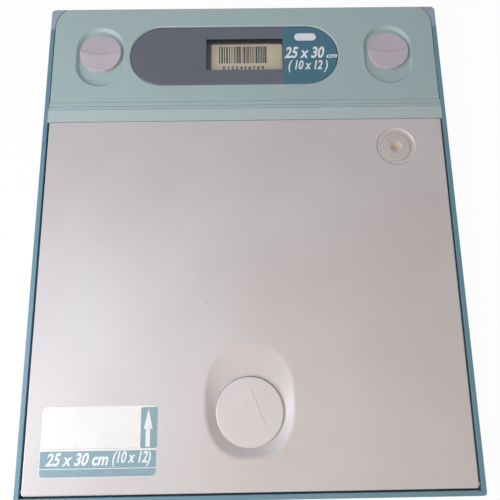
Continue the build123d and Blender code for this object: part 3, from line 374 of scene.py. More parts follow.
def rail_coat():
    coat = base_finish("powder_coat_blue_green", "#638B9B", "#5E8697", 50, 0.6, 0.02, (0.34, 0.46))
    wear_and_highlight_edges(coat, "#9CC0D2", width_mm=0.8, patch_mm=14, most=0.6)
    return coat["material"]


def end_abs():
    coat = base_finish("moulded_abs_grey", "#9BA9B3", "#95A3AE", 30, 0.6, 0.03, (0.45, 0.58))
    wear_and_highlight_edges(coat, "#B4BEC6", width_mm=0.6, patch_mm=8, most=0.5)
    return coat["material"]


def button_abs():
    coat = base_finish("moulded_abs_lilac", "#C4BABF", "#BEB4BA", 18, 0.7, 0.015, (0.38, 0.5))
    tree = coat["tree"]
    for side in ("left", "right"):
        low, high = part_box(side + "_lock_button")
        middle = ((low.x + high.x) / 2, (low.y + high.y) / 2 + RIDGE_MIDDLE_MM * MM, high.z)
        gap = {0: coat["place"], 1: middle}
        away = add_node(tree, "ShaderNodeVectorMath", gap, operation="DISTANCE").outputs["Value"]
        from_arc = {0: away, 1: RIDGE_R_MM * MM}
        past = add_node(tree, "ShaderNodeMath", from_arc, operation="SUBTRACT").outputs[0]
        off = add_node(tree, "ShaderNodeMath", {0: past}, operation="ABSOLUTE").outputs[0]
        # The dark arc along the ridge is a painted shadow, for the shade below the ridge's step.
        line = {"Value": off, "From Min": RIDGE_LINE_MM * MM, "From Max": 0.0, "To Max": RIDGE_SHADE}
        lay_over(coat, add_node(tree, "ShaderNodeMapRange", line).outputs[0], "#847B82")
    wear_and_highlight_edges(coat, "#D3CDD1", width_mm=0.4, patch_mm=5, most=0.6)
    return coat["material"]


def disc_abs():
    coat = base_finish("moulded_abs_silver", "#CBC5C6", "#C6C0C1", 25, 0.6, 0.015, (0.42, 0.54),
                       Metallic=FLAKE_SHARE)
    wear_and_highlight_edges(coat, "#E6E2E2", width_mm=0.4, patch_mm=6, most=0.6)
    return coat["material"]


def seat_abs():
    coat = base_finish("moulded_abs_pale_warm_lit", "#C8C0BC", "#C1B9B4", 9, 0.6, 0.015, (0.42, 0.54))
    low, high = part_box("centre_seat")
    middle = ((low.x + high.x) / 2, (low.y + high.y) / 2, high.z)
    gap = {0: coat["place"], 1: middle}
    away = add_node(coat["tree"], "ShaderNodeVectorMath", gap, operation="DISTANCE").outputs["Value"]
    rim = SEAT_CUP_MM * MM
    # The warm tint in the cup is painted warm light, strongest at the middle.
    cup = {"Value": away, "From Min": rim, "From Max": rim * SEAT_CUP_CORE, "To Max": SEAT_CUP_WARM_LIGHT}
    lay_over(coat, add_node(coat["tree"], "ShaderNodeMapRange", cup).outputs[0], "#BFA07A")
    wear_and_highlight_edges(coat, "#D9D3CE", width_mm=0.3, patch_mm=4, most=0.5)
    return coat["material"]


rail_paint = rail_coat()
end_plastic = end_abs()
button_plastic = button_abs()
disc_plastic = disc_abs()
seat_plastic = seat_abs()

# %% [markdown]
# ## Nameplate, window and labels
#
# The nameplate is a metal plate under a printed film: slate grey, and blue-green past a straight line on its
# right. The window is clear polycarbonate. It is made see-through by its alpha, which lets the light down to
# the bar code and still shows in a plain viewer. The two papers differ: the bar code's has yellowed inside
# the case, and the one on the lid is white coated stock.

# %% Nameplate, window and labels
NAME_SPLIT_MM = 27.6


def name_film():
    coat = base_finish("printed_film_slate", "#60636E", "#5B5E69", 40, 0.4, 0.008, (0.34, 0.44))
    lay_over(coat, beyond(coat, 0, NAME_SPLIT_MM), "#38697A")
    wear_and_highlight_edges(coat, "#9BA3AC", width_mm=0.3, patch_mm=6, most=0.35)
    return coat["material"]


def window_plastic():
    look = {"Alpha": 0.04, "IOR": 1.58}
    coat = base_finish("clear_polycarbonate", "#8A9292", "#848C8C", 20, 2.0, 0.002, (0.04, 0.08), **look)
    return coat["material"]


def old_paper():
    coat = base_finish("yellowed_label_paper", "#DDD1BC", "#D2C5AD", 14, 0.35, 0.01, (0.6, 0.75))
    return coat["material"]


def coated_paper():
    coat = base_finish("coated_label_paper", "#EDEAE8", "#E8E6E4", 25, 0.3, 0.004, (0.35, 0.45))
    wear_and_highlight_edges(coat, "#C9C4BE", width_mm=0.5, patch_mm=4, most=0.7)
    return coat["material"]


def ink(name, colour, drift, rough):
    """Printing ink: a thin, even film that shows the grain of the paper below it."""
    return base_finish(name, colour, drift, 9, 0.35, 0.004, rough)["material"]


name_print = name_film()
pane_plastic = window_plastic()
code_paper = old_paper()
label_paper = coated_paper()
black_ink = ink("ink_black", "#2A2724", "#35312D", (0.5, 0.6))
# Painted shade: a charcoal film that darkens the edge of the bar code window.
window_shade_charcoal = ink("painted_shade_charcoal", "#6B6E7F", "#656879", (0.6, 0.7))
label_blue_ink = ink("ink_grey_blue", "#86A1AE", "#809CA9", (0.38, 0.48))
white_ink = ink("ink_white", "#E9EDEF", "#E2E7EA", (0.35, 0.45))
grey_ink = ink("ink_pale_grey", "#B9B9B9", "#C4C4C4", (0.4, 0.5))

# %% [markdown]
# ## What the lid hides
#
# Inside are the parts that keep light out and press the plate flat: black ABS, black foam and felt, lead foil
# and the white imaging plate. Foam shows open pores, so its relief is cells instead of grit. Felt is fibre,
# so its noise is stretched and it has a sheen. Bare metal parts are zinc-plated or spring steel.

# %% Inside finishes
PORE_MM = 0.9
PORE_DEEP_MM = 0.25
FIBRE_MM = (4.0, 0.35, 0.35)
FIBRE_FROM, FIBRE_TO, FIBRE_PALE = 0.5, 0.62, 0.35
GROOVE_MM = 0.006


def open_foam(name, colour, drift):
    coat = base_finish(name, colour, drift, 12, 0.5, 0.04, (0.85, 0.95))
    cells = {"Vector": coat["place"], "Scale": 1 / (PORE_MM * MM)}
    pores = add_node(coat["tree"], "ShaderNodeTexVoronoi", cells).outputs["Distance"]
    dents = {"Height": pores, "Distance": PORE_DEEP_MM * MM, "Normal": coat["bump"].outputs[0]}
    dented = add_node(coat["tree"], "ShaderNodeBump", dents)
    coat["tree"].links.new(dented.outputs[0], coat["shader"].inputs["Normal"])
    return coat["material"]


def felt():
    coat = base_finish("pressed_felt_black", "#26262A", "#2E2E33", 8, 0.5, 0.05, (0.9, 1.0), Sheen_Weight=0.3)
    tree = coat["tree"]
    fibres = {"Vector": coat["place"], "Scale": tuple(1 / (size * MM) for size in FIBRE_MM)}
    lying = add_node(tree, "ShaderNodeMapping", fibres).outputs[0]
    strand = add_node(tree, "ShaderNodeTexNoise", {"Vector": lying, "Scale": 1.0, "Detail": 4.0}).outputs[0]
    thin = {"Value": strand, "From Min": FIBRE_FROM, "From Max": FIBRE_TO, "To Max": FIBRE_PALE}
    lay_over(coat, add_node(tree, "ShaderNodeMapRange", thin).outputs[0], "#4A4A50")
    return coat["material"]


def bare_metal(name, colour, drift, rough, long_mm, wide_mm):
    """A metal whose drawing or brushing left fine lines along X, of that length and width."""
    coat = base_finish(name, colour, drift, 6, 0.4, 0.004, rough, Metallic=1.0)
    tree = coat["tree"]
    lines = {"Vector": coat["place"], "Scale": tuple(1 / (size * MM) for size in (long_mm, wide_mm, wide_mm))}
    drawn = add_node(tree, "ShaderNodeMapping", lines).outputs[0]
    line = add_node(tree, "ShaderNodeTexNoise", {"Vector": drawn, "Scale": 1.0, "Detail": 3.0}).outputs[0]
    groove = {"Height": line, "Distance": GROOVE_MM * MM, "Normal": coat["bump"].outputs[0]}
    brushed = add_node(tree, "ShaderNodeBump", groove)
    tree.links.new(brushed.outputs[0], coat["shader"].inputs["Normal"])
    return coat["material"]


black_plastic = base_finish("moulded_abs_black", "#26282D", "#2C2E33", 25, 0.5, 0.02, (0.4, 0.55))["material"]
shroud_coat = base_finish("matt_abs_black", "#17181B", "#1C1D21", 25, 0.5, 0.02, (0.7, 0.85),
                          Specular_IOR_Level=0.2)
shroud_black = shroud_coat["material"]
black_foam = open_foam("polyurethane_foam_black", "#2E3039", "#363842")
core_foam = open_foam("rigid_core_foam", "#D8D2C2", "#CFC8B6")
black_felt = felt()
plate_white = base_finish(
    "phosphor_plate_white", "#E6E7E2", "#E0E1DB", 60, 0.5, 0.006, (0.5, 0.6))["material"]
front_coat = base_finish(
    "painted_front_grey", "#9AA3A6", "#949DA1", 80, 0.7, 0.015, (0.45, 0.55))["material"]
zinc = bare_metal("zinc_plated_steel", "#C4C6CA", "#B6B9BE", (0.28, 0.42), long_mm=6.0, wide_mm=0.25)
spring_steel = bare_metal("spring_steel_wire", "#A9ABAF", "#9A9CA1", (0.22, 0.34), long_mm=3.0, wide_mm=0.2)
lead = bare_metal("lead_foil", "#787C82", "#6C7076", (0.5, 0.65), long_mm=10.0, wide_mm=0.6)
print("finishes:", len(bpy.data.materials))

# %% [markdown]
# ## Give the CAD nodes their finishes
#
# A CAD node whose shape is right keeps its mesh and only gets a material.

# %% Dress the nodes
FINISH_OF = {
    "left_rail": rail_paint, "right_rail": rail_paint, "hinge_rail": rail_paint,
    "corner_key_left": zinc, "corner_key_right": zinc, "end_piece": end_plastic,
    "frame_screws": zinc, "keeper_left": zinc, "keeper_right": zinc, "keeper_screws": zinc,
    "hinge_pins": zinc, "front_plate": front_coat, "foam_core": core_foam, "felt_liner": black_felt,
    "imaging_plate": plate_white, "barcode_label": code_paper, "light_seals": black_foam,
    "lid_panel": enamel, "centre_seat": seat_plastic, "hinge_block_left": black_plastic,
    "hinge_block_right": black_plastic, "paper_label": label_paper, "button_retainer": black_plastic,
    "centre_button_spring": spring_steel, "end_cap": cap_plastic, "nameplate": name_print,
    "window_shroud": shroud_black, "window_pane": pane_plastic, "lock_cover": black_plastic,
    "cover_screws": zinc, "lead_foil": lead, "pressure_pad": black_foam, "lid_liner": black_felt,
    "left_lock_spring": spring_steel, "right_lock_spring": spring_steel, "centre_button": disc_plastic,
    "left_lock_button": button_plastic, "right_lock_button": button_plastic,
    "left_lock_slide": black_plastic, "right_lock_slide": black_plastic,
    "left_lock_hook": zinc, "right_lock_hook": zinc,
}
for node_name, material in FINISH_OF.items():
    surfaces = frame["nodes"][node_name].data.materials
    surfaces.clear()
    surfaces.append(material)
print("dressed", len(FINISH_OF), "of", len(frame["nodes"]), "nodes")

# %% [markdown]
# ## Softened edges
#
# No moulding or extrusion has a perfectly sharp edge, and the bright hairline along a worn edge is much of
# what makes a surface look real. The CAD solids carry only the larger rounds. So the rails, the nameplate and
# the front plate are copied. Their loose triangles are merged into whole faces again, and a Bevel modifier
# with two segments rounds every sharp edge by a fraction of a millimetre. Harden Normals keeps the flat faces
# flat. The copy then stands for the node, which stays in the physics model. The cap and the end piece keep
# the edges of their solids, because a bevel makes spikes at their small rounds.

# %% Bevelled copies
MERGE_MM = 0.001
FLAT_DEG = 0.6
SHARP_DEG = 32.0
BODY_OF = {node: body for body, nodes in frame["record"]["behaviour"]["bodies"].items() for node in nodes}


def plain_mesh(host):
    """The host object with its modifiers applied, as a mesh of its own. The host is removed."""
    evaluated = host.evaluated_get(bpy.context.evaluated_depsgraph_get())
    mesh = bpy.data.meshes.new_from_object(evaluated)
    bpy.data.objects.remove(host)
    return mesh


def whole_faces(node_name):
    """A copy of a CAD node's mesh, with its corners merged and its flat faces joined."""
    mesh = frame["nodes"][node_name].data.copy()
    faces = bmesh.new()
    faces.from_mesh(mesh)
    bmesh.ops.remove_doubles(faces, verts=faces.verts, dist=MERGE_MM * MM)
    bmesh.ops.dissolve_limit(faces, angle_limit=math.radians(FLAT_DEG), verts=faces.verts, edges=faces.edges)
    faces.to_mesh(mesh)
    faces.free()
    return mesh


def put_on(name, mesh, material, body, slot_name):
    """Makes a mesh a piece that moves with a body. slot_name is not used."""
    piece = new_piece(name, mesh, material)
    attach(piece, body)
    return piece


def stand_in(name, mesh, material, node_name, slot_name):
    """Makes a mesh the shown piece for a CAD node, on the same body. slot_name is not used."""
    piece = put_on(name, mesh, material, BODY_OF[node_name], slot_name)
    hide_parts(node_name)
    return piece


def softened(node_name, width_mm, slot_name):
    """Replaces a node by a copy whose sharp edges are rounded by width_mm."""
    host = bpy.data.objects.new(node_name + "_host", whole_faces(node_name))
    bpy.context.scene.collection.objects.link(host)
    bevel = host.modifiers.new("soft_edges", "BEVEL")
    bevel.width = width_mm * MM
    bevel.segments = 2
    bevel.limit_method = "ANGLE"
    bevel.angle_limit = math.radians(SHARP_DEG)
    bevel.use_clamp_overlap = False
    bevel.harden_normals = True
    bevel.miter_outer = "MITER_ARC"
    mesh = plain_mesh(host)
    print(node_name, "edges rounded", width_mm, "mm,", len(mesh.polygons), "faces")
    return stand_in(node_name + "_softened", mesh, FINISH_OF[node_name], node_name, slot_name)


SOFT_EDGES = (
    ("left_rail", 0.25, "rail_paint"), ("right_rail", 0.25, "rail_paint"), ("hinge_rail", 0.25, "rail_paint"),
    ("nameplate", 0.12, "name_dark"), ("front_plate", 0.3, "panel_silver"),
)
for node_name, width_mm, slot_name in SOFT_EDGES:
    softened(node_name, width_mm, slot_name)

# %% [markdown]
# ## Foam and felt
#
# The pressure pad and the light seals are cut foam. A blade leaves flat faces, but the edges of foam pull in
# and its skin is never quite even. So each is remeshed into small even faces, a Smooth modifier draws the
# edges in, and slow noise lowers the skin by a fraction of a millimetre. The two linings are thin pressed
# felt, which keeps its flat faces and only loses its sharp edge.

# %% Foam and felt pieces
DRAW_SHARE = 0.5
DRAW_STEPS = 4


def foam_copy(node_name, face_mm, dip_mm, wave_mm):
    """Replaces a foam node by a copy with drawn-in edges, and dips of up to dip_mm about wave_mm apart."""
    host = bpy.data.objects.new(node_name + "_host", whole_faces(node_name))
    bpy.context.scene.collection.objects.link(host)
    even = host.modifiers.new("even_faces", "REMESH")
    even.mode = "VOXEL"
    even.voxel_size = face_mm * MM
    even.use_smooth_shade = True
    drawn = host.modifiers.new("drawn_edges", "SMOOTH")
    drawn.factor = DRAW_SHARE
    drawn.iterations = DRAW_STEPS
    mesh = plain_mesh(host)
    outward = [v.normal.copy() for v in mesh.vertices]
    for v, normal in zip(mesh.vertices, outward):
        depth = 0.5 + 0.5 * noise.noise(v.co / (wave_mm * MM))
        v.co -= normal * depth * dip_mm * MM
    piece = stand_in(node_name + "_foam", mesh, FINISH_OF[node_name], node_name, "black_foam")
    print(node_name, "foam,", len(mesh.polygons), "faces")


def felt_copy(node_name, edge_mm):
    """Replaces a felt node by a copy with its edges eased."""
    piece = softened(node_name, edge_mm, "black_foam")


foam_copy("pressure_pad", face_mm=1.6, dip_mm=0.25, wave_mm=14)
foam_copy("light_seals", face_mm=0.8, dip_mm=0.15, wave_mm=7)
felt_copy("felt_liner", edge_mm=0.2)
felt_copy("lid_liner", edge_mm=0.12)

# %% [markdown]
# ## Printed marks
#
# Screen printing leaves a film of ink about 0.01 mm thick. It could be painted in the material, but a film
# with its own mesh keeps a crisp edge at any zoom and exports as it is. A flat mark is an outline filled and
# given that thickness. The words are Blender text, leaned over and squeezed to the size of the mark. They
# are plain sizes and numbers.

# %% Films of ink
FILM_MM = 0.02
CURVE_STEPS = 10
LEAN = 0.28
STROKE = 0.028
LETTER_STEPS = 4


def rounded_outline(x0, x1, y0, y1, radii):
    """Corners of a rectangle in millimetres; radii are for low left, low right, top right, top left."""
    corners = ((x0, y0, 180), (x1, y0, 270), (x1, y1, 0), (x0, y1, 90))
    points = []
    for (x, y, start), radius in zip(corners, radii):
        inward_x, inward_y = (1 if x == x0 else -1), (1 if y == y0 else -1)
        centre = (x + inward_x * radius, y + inward_y * radius)
        steps = CURVE_STEPS if radius else 0
        for step in range(steps + 1):
            turn_by = math.radians(start + 90 * step / max(steps, 1))
            points.append((centre[0] + radius * math.cos(turn_by), centre[1] + radius * math.sin(turn_by)))
    return points


def film(name, outlines, z_mm, material, body, slot_name):
    """A thin slab of ink for each outline, on a surface at z_mm."""
    sheet = bmesh.new()
    for outline in outlines:
        foot = [sheet.verts.new((x * MM, y * MM, z_mm * MM)) for x, y in outline]
        top = [sheet.verts.new((x * MM, y * MM, (z_mm + FILM_MM) * MM)) for x, y in outline]
        sheet.faces.new(top)
        sheet.faces.new(foot[::-1])
        for here, after in zip(range(len(foot)), [*range(1, len(foot)), 0]):
            sheet.faces.new((foot[here], foot[after], top[after], top[here]))
    mesh = bpy.data.meshes.new(name)
    bmesh.ops.recalc_face_normals(sheet, faces=sheet.faces)
    sheet.to_mesh(mesh)
    sheet.free()
    put_on(name, mesh, material, body, slot_name)


def lettering(name, words, box_mm, z_mm, lean, material, body, slot_name):
    """Words as a film of ink, fitted to a box in millimetres: low x, high x, low y, high y."""
    text = bpy.data.curves.new(name, "FONT")
    text.body = words
    text.shear = lean
    text.resolution_u = LETTER_STEPS
    text.offset = STROKE
    host = bpy.data.objects.new(name + "_host", text)
    bpy.context.scene.collection.objects.link(host)
    mesh = plain_mesh(host)
    letters = bmesh.new()
    letters.from_mesh(mesh)
    low_x, high_x = min(v.co.x for v in letters.verts), max(v.co.x for v in letters.verts)
    low_y, high_y = min(v.co.y for v in letters.verts), max(v.co.y for v in letters.verts)
    for v in letters.verts:
        share_x, share_y = (v.co.x - low_x) / (high_x - low_x), (v.co.y - low_y) / (high_y - low_y)
        v.co.x = (box_mm[0] + (box_mm[1] - box_mm[0]) * share_x) * MM
        v.co.y = (box_mm[2] + (box_mm[3] - box_mm[2]) * share_y) * MM
        v.co.z = (z_mm + FILM_MM) * MM
    walls = bmesh.ops.extrude_face_region(letters, geom=letters.faces[:])
    for item in walls["geom"]:
        if isinstance(item, bmesh.types.BMVert):
            item.co.z = z_mm * MM
    bmesh.ops.recalc_face_normals(letters, faces=letters.faces)
    for face in letters.faces:
        face.smooth = False
    letters.to_mesh(mesh)
    letters.free()
    put_on(name, mesh, material, body, slot_name)


# %% [markdown]
# ## The printing on the paper label
#
# Two grey-blue bands with the size in white, a box with a white arrow that points at the lock end, and a
# line with ticks where a name can be written. The lower corners of the bands follow the label's corners.

# %% Print the paper label
label_low, label_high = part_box("paper_label")
LABEL_X, LABEL_Y, LABEL_TOP = label_low.x / MM, label_low.y / MM, label_high.z / MM
LABEL_W = label_high.x / MM - LABEL_X
BAND_INSET = 0.3
SQUARE = (0, 0, 0, 0)
# Boxes and points are in millimetres from the label's low left corner: low x, high x, low y, high y.
BANDS = (
    ((BAND_INSET, LABEL_W - BAND_INSET, BAND_INSET, 4.7), (2.4, 2.4, 0, 0)),
    ((BAND_INSET, LABEL_W - BAND_INSET, 5.1, 14.8), (0, 0, 0.6, 0.6)),
    ((60.0, 69.9, 15.8, 39.3), (1.2, 1.2, 1.2, 1.2)),
)
ARROW = ((64.5, 38.5), (61.8, 26.8), (63.1, 26.8), (63.1, 16.6), (65.8, 16.6), (65.8, 26.8), (67.2, 26.8))
SIZE_WORDS = (
    ("label_size_cm", "25 x 30 cm", (3.7, 41.3, 6.5, 13.9)),
    ("label_size_inch", "(10 x 12)", (43.6, 66.6, 5.8, 14.5)),
)
RULES = ((1.8, 59.3, 15.9, 16.15), (20.8, 21.1, 16.15, 18.3), (39.4, 39.7, 16.15, 18.3))


def on_sheet(x0, x1, y0, y1):
    """A box of the label, moved to the label's place in the frame."""
    return LABEL_X + x0, LABEL_X + x1, LABEL_Y + y0, LABEL_Y + y1


on_label = {"material": label_blue_ink, "body": "lid", "slot_name": "label_paper"}
film("label_bands", [rounded_outline(*on_sheet(*box), radii) for box, radii in BANDS], LABEL_TOP, **on_label)
on_label["material"] = white_ink
film("label_arrow", [[(LABEL_X + x, LABEL_Y + y) for x, y in ARROW]], LABEL_TOP + FILM_MM, **on_label)
for name, words, box in SIZE_WORDS:
    lettering(name, words, on_sheet(*box), LABEL_TOP + FILM_MM, LEAN, **on_label)
on_label["material"] = grey_ink
film("label_rules", [rounded_outline(*on_sheet(*box), SQUARE) for box in RULES], LABEL_TOP, **on_label)
print("label printed at z", round(LABEL_TOP, 2), "mm")

# %% [markdown]
# ## The printing on the nameplate
#
# The right end of the plate carries the size again, below a bare white lozenge. The left end is bare.

# %% Print the nameplate
NAME_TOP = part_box("nameplate")[1].z / MM
LOZENGE = (36.2, 51.9, 138.9, 144.8)  # millimetres in the frame: low x, high x, low y, high y
LOZENGE_R = 2.9
NAME_WORDS = (
    ("name_size_cm", "25 x 30", (28.6, 57.6, 124.8, 134.0)),
    ("name_size_unit", "cm", (58.8, 66.6, 124.8, 127.6)),
    ("name_size_inch", "( 10 x 12 )", (31.2, 59.6, 113.6, 123.2)),
)
on_name = {"material": white_ink, "body": "lid", "slot_name": "name_dark"}
film("name_lozenge", [rounded_outline(*LOZENGE, (LOZENGE_R,) * 4)], NAME_TOP, **on_name)
for name, words, box in NAME_WORDS:
    lettering(name, words, box, NAME_TOP, LEAN, **on_name)

# %% [markdown]
# ## A helper that runs a Geometry Nodes tree
#
# A tree is like a small machine: named inputs go in, and a mesh comes out. This helper makes a tree with its
# inputs, puts it on a host object, sets the inputs by their identifiers, and keeps the result as a plain
# mesh, because the finished part has no live modifiers.

# %% Run a tree
SOCKET_KIND = {"float": "NodeSocketFloat", "int": "NodeSocketInt", "vector": "NodeSocketVector"}


def new_tree(name, inputs):
    """A tree with a geometry input and output, and the named inputs: {name: (kind, default)}."""
    tree = bpy.data.node_groups.new(name, "GeometryNodeTree")
    tree.interface.new_socket("Geometry", in_out="INPUT", socket_type="NodeSocketGeometry")
    for title, (kind, value) in inputs.items():
        socket = tree.interface.new_socket(title, in_out="INPUT", socket_type=SOCKET_KIND[kind])
        socket.default_value = value
    tree.interface.new_socket("Geometry", in_out="OUTPUT", socket_type="NodeSocketGeometry")
    return tree, add_node(tree, "NodeGroupInput").outputs


def finish_tree(tree, geometry, material):
    """Ends a tree: instances made real, the material set, and the result sent out."""
    real = add_node(tree, "GeometryNodeRealizeInstances", {0: geometry})
    dressed = add_node(tree, "GeometryNodeSetMaterial", {0: real.outputs[0], "Material": material})
    add_node(tree, "NodeGroupOutput", {0: dressed.outputs[0]})


def run_tree(tree, values, places=()):
    """Runs the tree on a mesh with a vertex at each place, in metres, and returns the result."""
    seed_mesh = bpy.data.meshes.new(tree.name + "_places")
    seed_mesh.from_pydata(places, [], [])
    host = bpy.data.objects.new(tree.name + "_host", seed_mesh)
    bpy.context.scene.collection.objects.link(host)
    grow = host.modifiers.new("grow", "NODES")
    grow.node_group = tree
    for socket in tree.interface.items_tree:
        if socket.item_type == "SOCKET" and socket.in_out == "INPUT" and socket.name in values:
            grow[socket.identifier] = values[socket.name]
    return plain_mesh(host)


# %% [markdown]
# ## The bar code
#
# Bars are one to three modules wide and gaps one or two, in an order that looks random. Drawing each bar by
# hand would be dull, so a tree does it: it gives each point a bar and a gap from a seeded Random Value, and
# Accumulate Field adds up the widths before it, which is where the bar stands. A box is put on each point and
# stretched to its width. The number below is only 0 to 9. A charcoal film on the imaging plate, wider than
# the paper all round, is painted shade: it darkens the edge of the window, where the window's wall casts a
# shadow.

# %% Bar code tree
BAR_COUNT = 26
BAR_SEED = 7
BAR_FROM, BAR_TO = 1, 3
GAP_FROM, GAP_TO = 1, 2
LOWEST, HIGHEST, EACH, SEED = 4, 5, 7, 8  # the whole-number inputs of a Random Value node
WHOLE = 2                                 # and its whole-number output
BARS_X, BARS_Y = -18.6, 131.3             # where the bars start, and the middle of their height
BARS_LONG, BARS_HIGH = 35.4, 13.6
NUMBER_BOX = (-16.0, 14.0, 119.3, 122.3)
BORDER_MM = 4.0
BORDER_R = 1.0
code_low, code_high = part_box("barcode_label")
CODE_TOP = code_high.z / MM


def bar_tree():
    tree, given = new_tree("bar_code", {
        "Count": ("int", BAR_COUNT), "Seed": ("int", BAR_SEED), "Start": ("vector", (0, 0, 0)),
        "Length": ("float", 0.03), "Height": ("float", 0.01), "Thickness": ("float", 0.00002)})
    index = add_node(tree, "GeometryNodeInputIndex").outputs[0]
    other_seed = add_node(tree, "ShaderNodeMath", {0: given["Seed"], 1: 1.0}, operation="ADD").outputs[0]
    bar, gap = (
        add_node(tree, "FunctionNodeRandomValue", {LOWEST: low, HIGHEST: high, EACH: index, SEED: seed},
                 data_type="INT").outputs[WHOLE]
        for low, high, seed in ((BAR_FROM, BAR_TO, given["Seed"]), (GAP_FROM, GAP_TO, other_seed)))
    both = add_node(tree, "ShaderNodeMath", {0: bar, 1: gap}, operation="ADD").outputs[0]
    summed = add_node(tree, "GeometryNodeAccumulateField", {0: both}).outputs
    half = add_node(tree, "ShaderNodeMath", {0: bar, 1: 0.5}, operation="MULTIPLY").outputs[0]
    middle = add_node(tree, "ShaderNodeMath", {0: summed["Trailing"], 1: half}, operation="ADD").outputs[0]
    share = {0: given["Length"], 1: summed["Total"]}
    module = add_node(tree, "ShaderNodeMath", share, operation="DIVIDE").outputs[0]
    along = add_node(tree, "ShaderNodeMath", {0: middle, 1: module}, operation="MULTIPLY").outputs[0]
    width = add_node(tree, "ShaderNodeMath", {0: bar, 1: module}, operation="MULTIPLY").outputs[0]
    shift = add_node(tree, "ShaderNodeCombineXYZ", {0: along}).outputs[0]
    heap = add_node(tree, "GeometryNodePoints", {0: given["Count"], 1: given["Start"]}).outputs[0]
    points = add_node(tree, "GeometryNodeSetPosition", {"Geometry": heap, "Offset": shift}).outputs[0]
    edges = {0: 1.0, 1: given["Height"], 2: given["Thickness"]}
    size = add_node(tree, "ShaderNodeCombineXYZ", edges).outputs[0]
    box = add_node(tree, "GeometryNodeMeshCube", {0: size}).outputs[0]
    stretch = add_node(tree, "ShaderNodeCombineXYZ", {0: width, 1: 1.0, 2: 1.0}).outputs[0]
    placed = {"Points": points, "Instance": box, "Scale": stretch}
    bars = add_node(tree, "GeometryNodeInstanceOnPoints", placed)
    finish_tree(tree, bars.outputs[0], black_ink)
    return tree


bar_mesh = run_tree(bar_tree(), {
    "Start": (BARS_X * MM, BARS_Y * MM, (CODE_TOP + FILM_MM / 2) * MM), "Length": BARS_LONG * MM,
    "Height": BARS_HIGH * MM, "Thickness": FILM_MM * MM})
on_code = {"material": black_ink, "body": "casing", "slot_name": "code_paper"}
put_on("bar_code", bar_mesh, **on_code)
lettering("bar_code_number", "0 1 2 3 4 5 6 7 8 9", NUMBER_BOX, CODE_TOP, 0.0, **on_code)
# The charcoal film round the code is painted shade, for the shadow that the window's wall casts.
border = rounded_outline(
    code_low.x / MM - BORDER_MM, code_high.x / MM + BORDER_MM,
    code_low.y / MM - BORDER_MM, code_high.y / MM + BORDER_MM, (BORDER_R,) * 4)
on_code["material"] = window_shade_charcoal
film("code_edge_painted_shade", [border], code_low.z / MM, **on_code)
print("bars:", len(bar_mesh.polygons) // 6, "over", round(bar_mesh.vertices[-1].co.x / MM - BARS_X, 1), "mm")

# %% [markdown]
# ## Screws
#
# Every screw has a cross recess, which the CAD solids leave out. One tree makes them all: a shank, a head
# that is a cone with its top cut off, and two crossed boxes taken out of it. It puts one screw on each point,
# and the points come from the CAD nodes, as the middle of each solid's box. Heads that face down are turned
# over.

# %% Screw tree
HEAD_SIDES = 20
SHANK_SIDES = 12
RECESS_LONG = 1.15
RECESS_WIDE = 0.30
RECESS_DEEP = 0.55


def screw_tree():
    tree, given = new_tree("cross_head_screw", {
        "Head Foot Radius": ("float", 0.0017), "Head Top Radius": ("float", 0.0013),
        "Head Height": ("float", 0.0008), "Shank Radius": ("float", 0.0009),
        "Shank Length": ("float", 0.004), "Turn": ("vector", (0, 0, 0))})
    drop, long, wide, deep = (
        add_node(tree, "ShaderNodeMath", {0: given[title], 1: factor}, operation="MULTIPLY").outputs[0]
        for title, factor in (("Shank Length", -0.5), ("Head Top Radius", RECESS_LONG),
                              ("Head Top Radius", RECESS_WIDE), ("Head Height", 2 * RECESS_DEEP)))
    head_sizes = {"Vertices": HEAD_SIDES, "Side Segments": 2, "Radius Bottom": given["Head Foot Radius"],
                  "Radius Top": given["Head Top Radius"], "Depth": given["Head Height"]}
    head = add_node(tree, "GeometryNodeMeshCone", head_sizes).outputs[0]
    shank_sizes = {"Vertices": SHANK_SIDES, "Radius": given["Shank Radius"], "Depth": given["Shank Length"]}
    shank = add_node(tree, "GeometryNodeMeshCylinder", shank_sizes).outputs[0]
    down = add_node(tree, "ShaderNodeCombineXYZ", {2: drop}).outputs[0]
    low_shank = add_node(tree, "GeometryNodeTransform", {0: shank, "Translation": down}).outputs[0]
    lift = add_node(tree, "ShaderNodeCombineXYZ", {2: given["Head Height"]}).outputs[0]
    for size in ((long, wide, deep), (wide, long, deep)):
        edges = add_node(tree, "ShaderNodeCombineXYZ", dict(enumerate(size))).outputs[0]
        block = add_node(tree, "GeometryNodeMeshCube", {0: edges}).outputs[0]
        cutter = add_node(tree, "GeometryNodeTransform", {0: block, "Translation": lift}).outputs[0]
        both = {"Mesh 1": head, "Mesh 2": cutter}
        head = add_node(tree, "GeometryNodeMeshBoolean", both, operation="DIFFERENCE").outputs[0]
    joined = add_node(tree, "GeometryNodeJoinGeometry", {0: head})
    tree.links.new(low_shank, joined.inputs[0])
    spots = add_node(tree, "GeometryNodeMeshToPoints", {0: given["Geometry"]}).outputs[0]
    screws = add_node(tree, "GeometryNodeInstanceOnPoints", {
        "Points": spots, "Instance": joined.outputs[0], "Rotation": given["Turn"]})
    finish_tree(tree, screws.outputs[0], zinc)
    return tree


def solid_boxes(node_name):
    """The box of each separate solid in a node: lowest and highest corner."""
    faces = bmesh.new()
    faces.from_mesh(frame["nodes"][node_name].data)
    bmesh.ops.remove_doubles(faces, verts=faces.verts, dist=MERGE_MM * MM)
    left, boxes = set(faces.verts), []
    while left:
        grown = [left.pop()]
        for v in grown:
            near = [edge.other_vert(v) for edge in v.link_edges if edge.other_vert(v) in left]
            grown += near
            left.difference_update(near)
        spots = [v.co for v in grown]
        boxes.append([Vector(pick(p[axis] for p in spots) for axis in range(3)) for pick in (min, max)])
    faces.free()
    return boxes


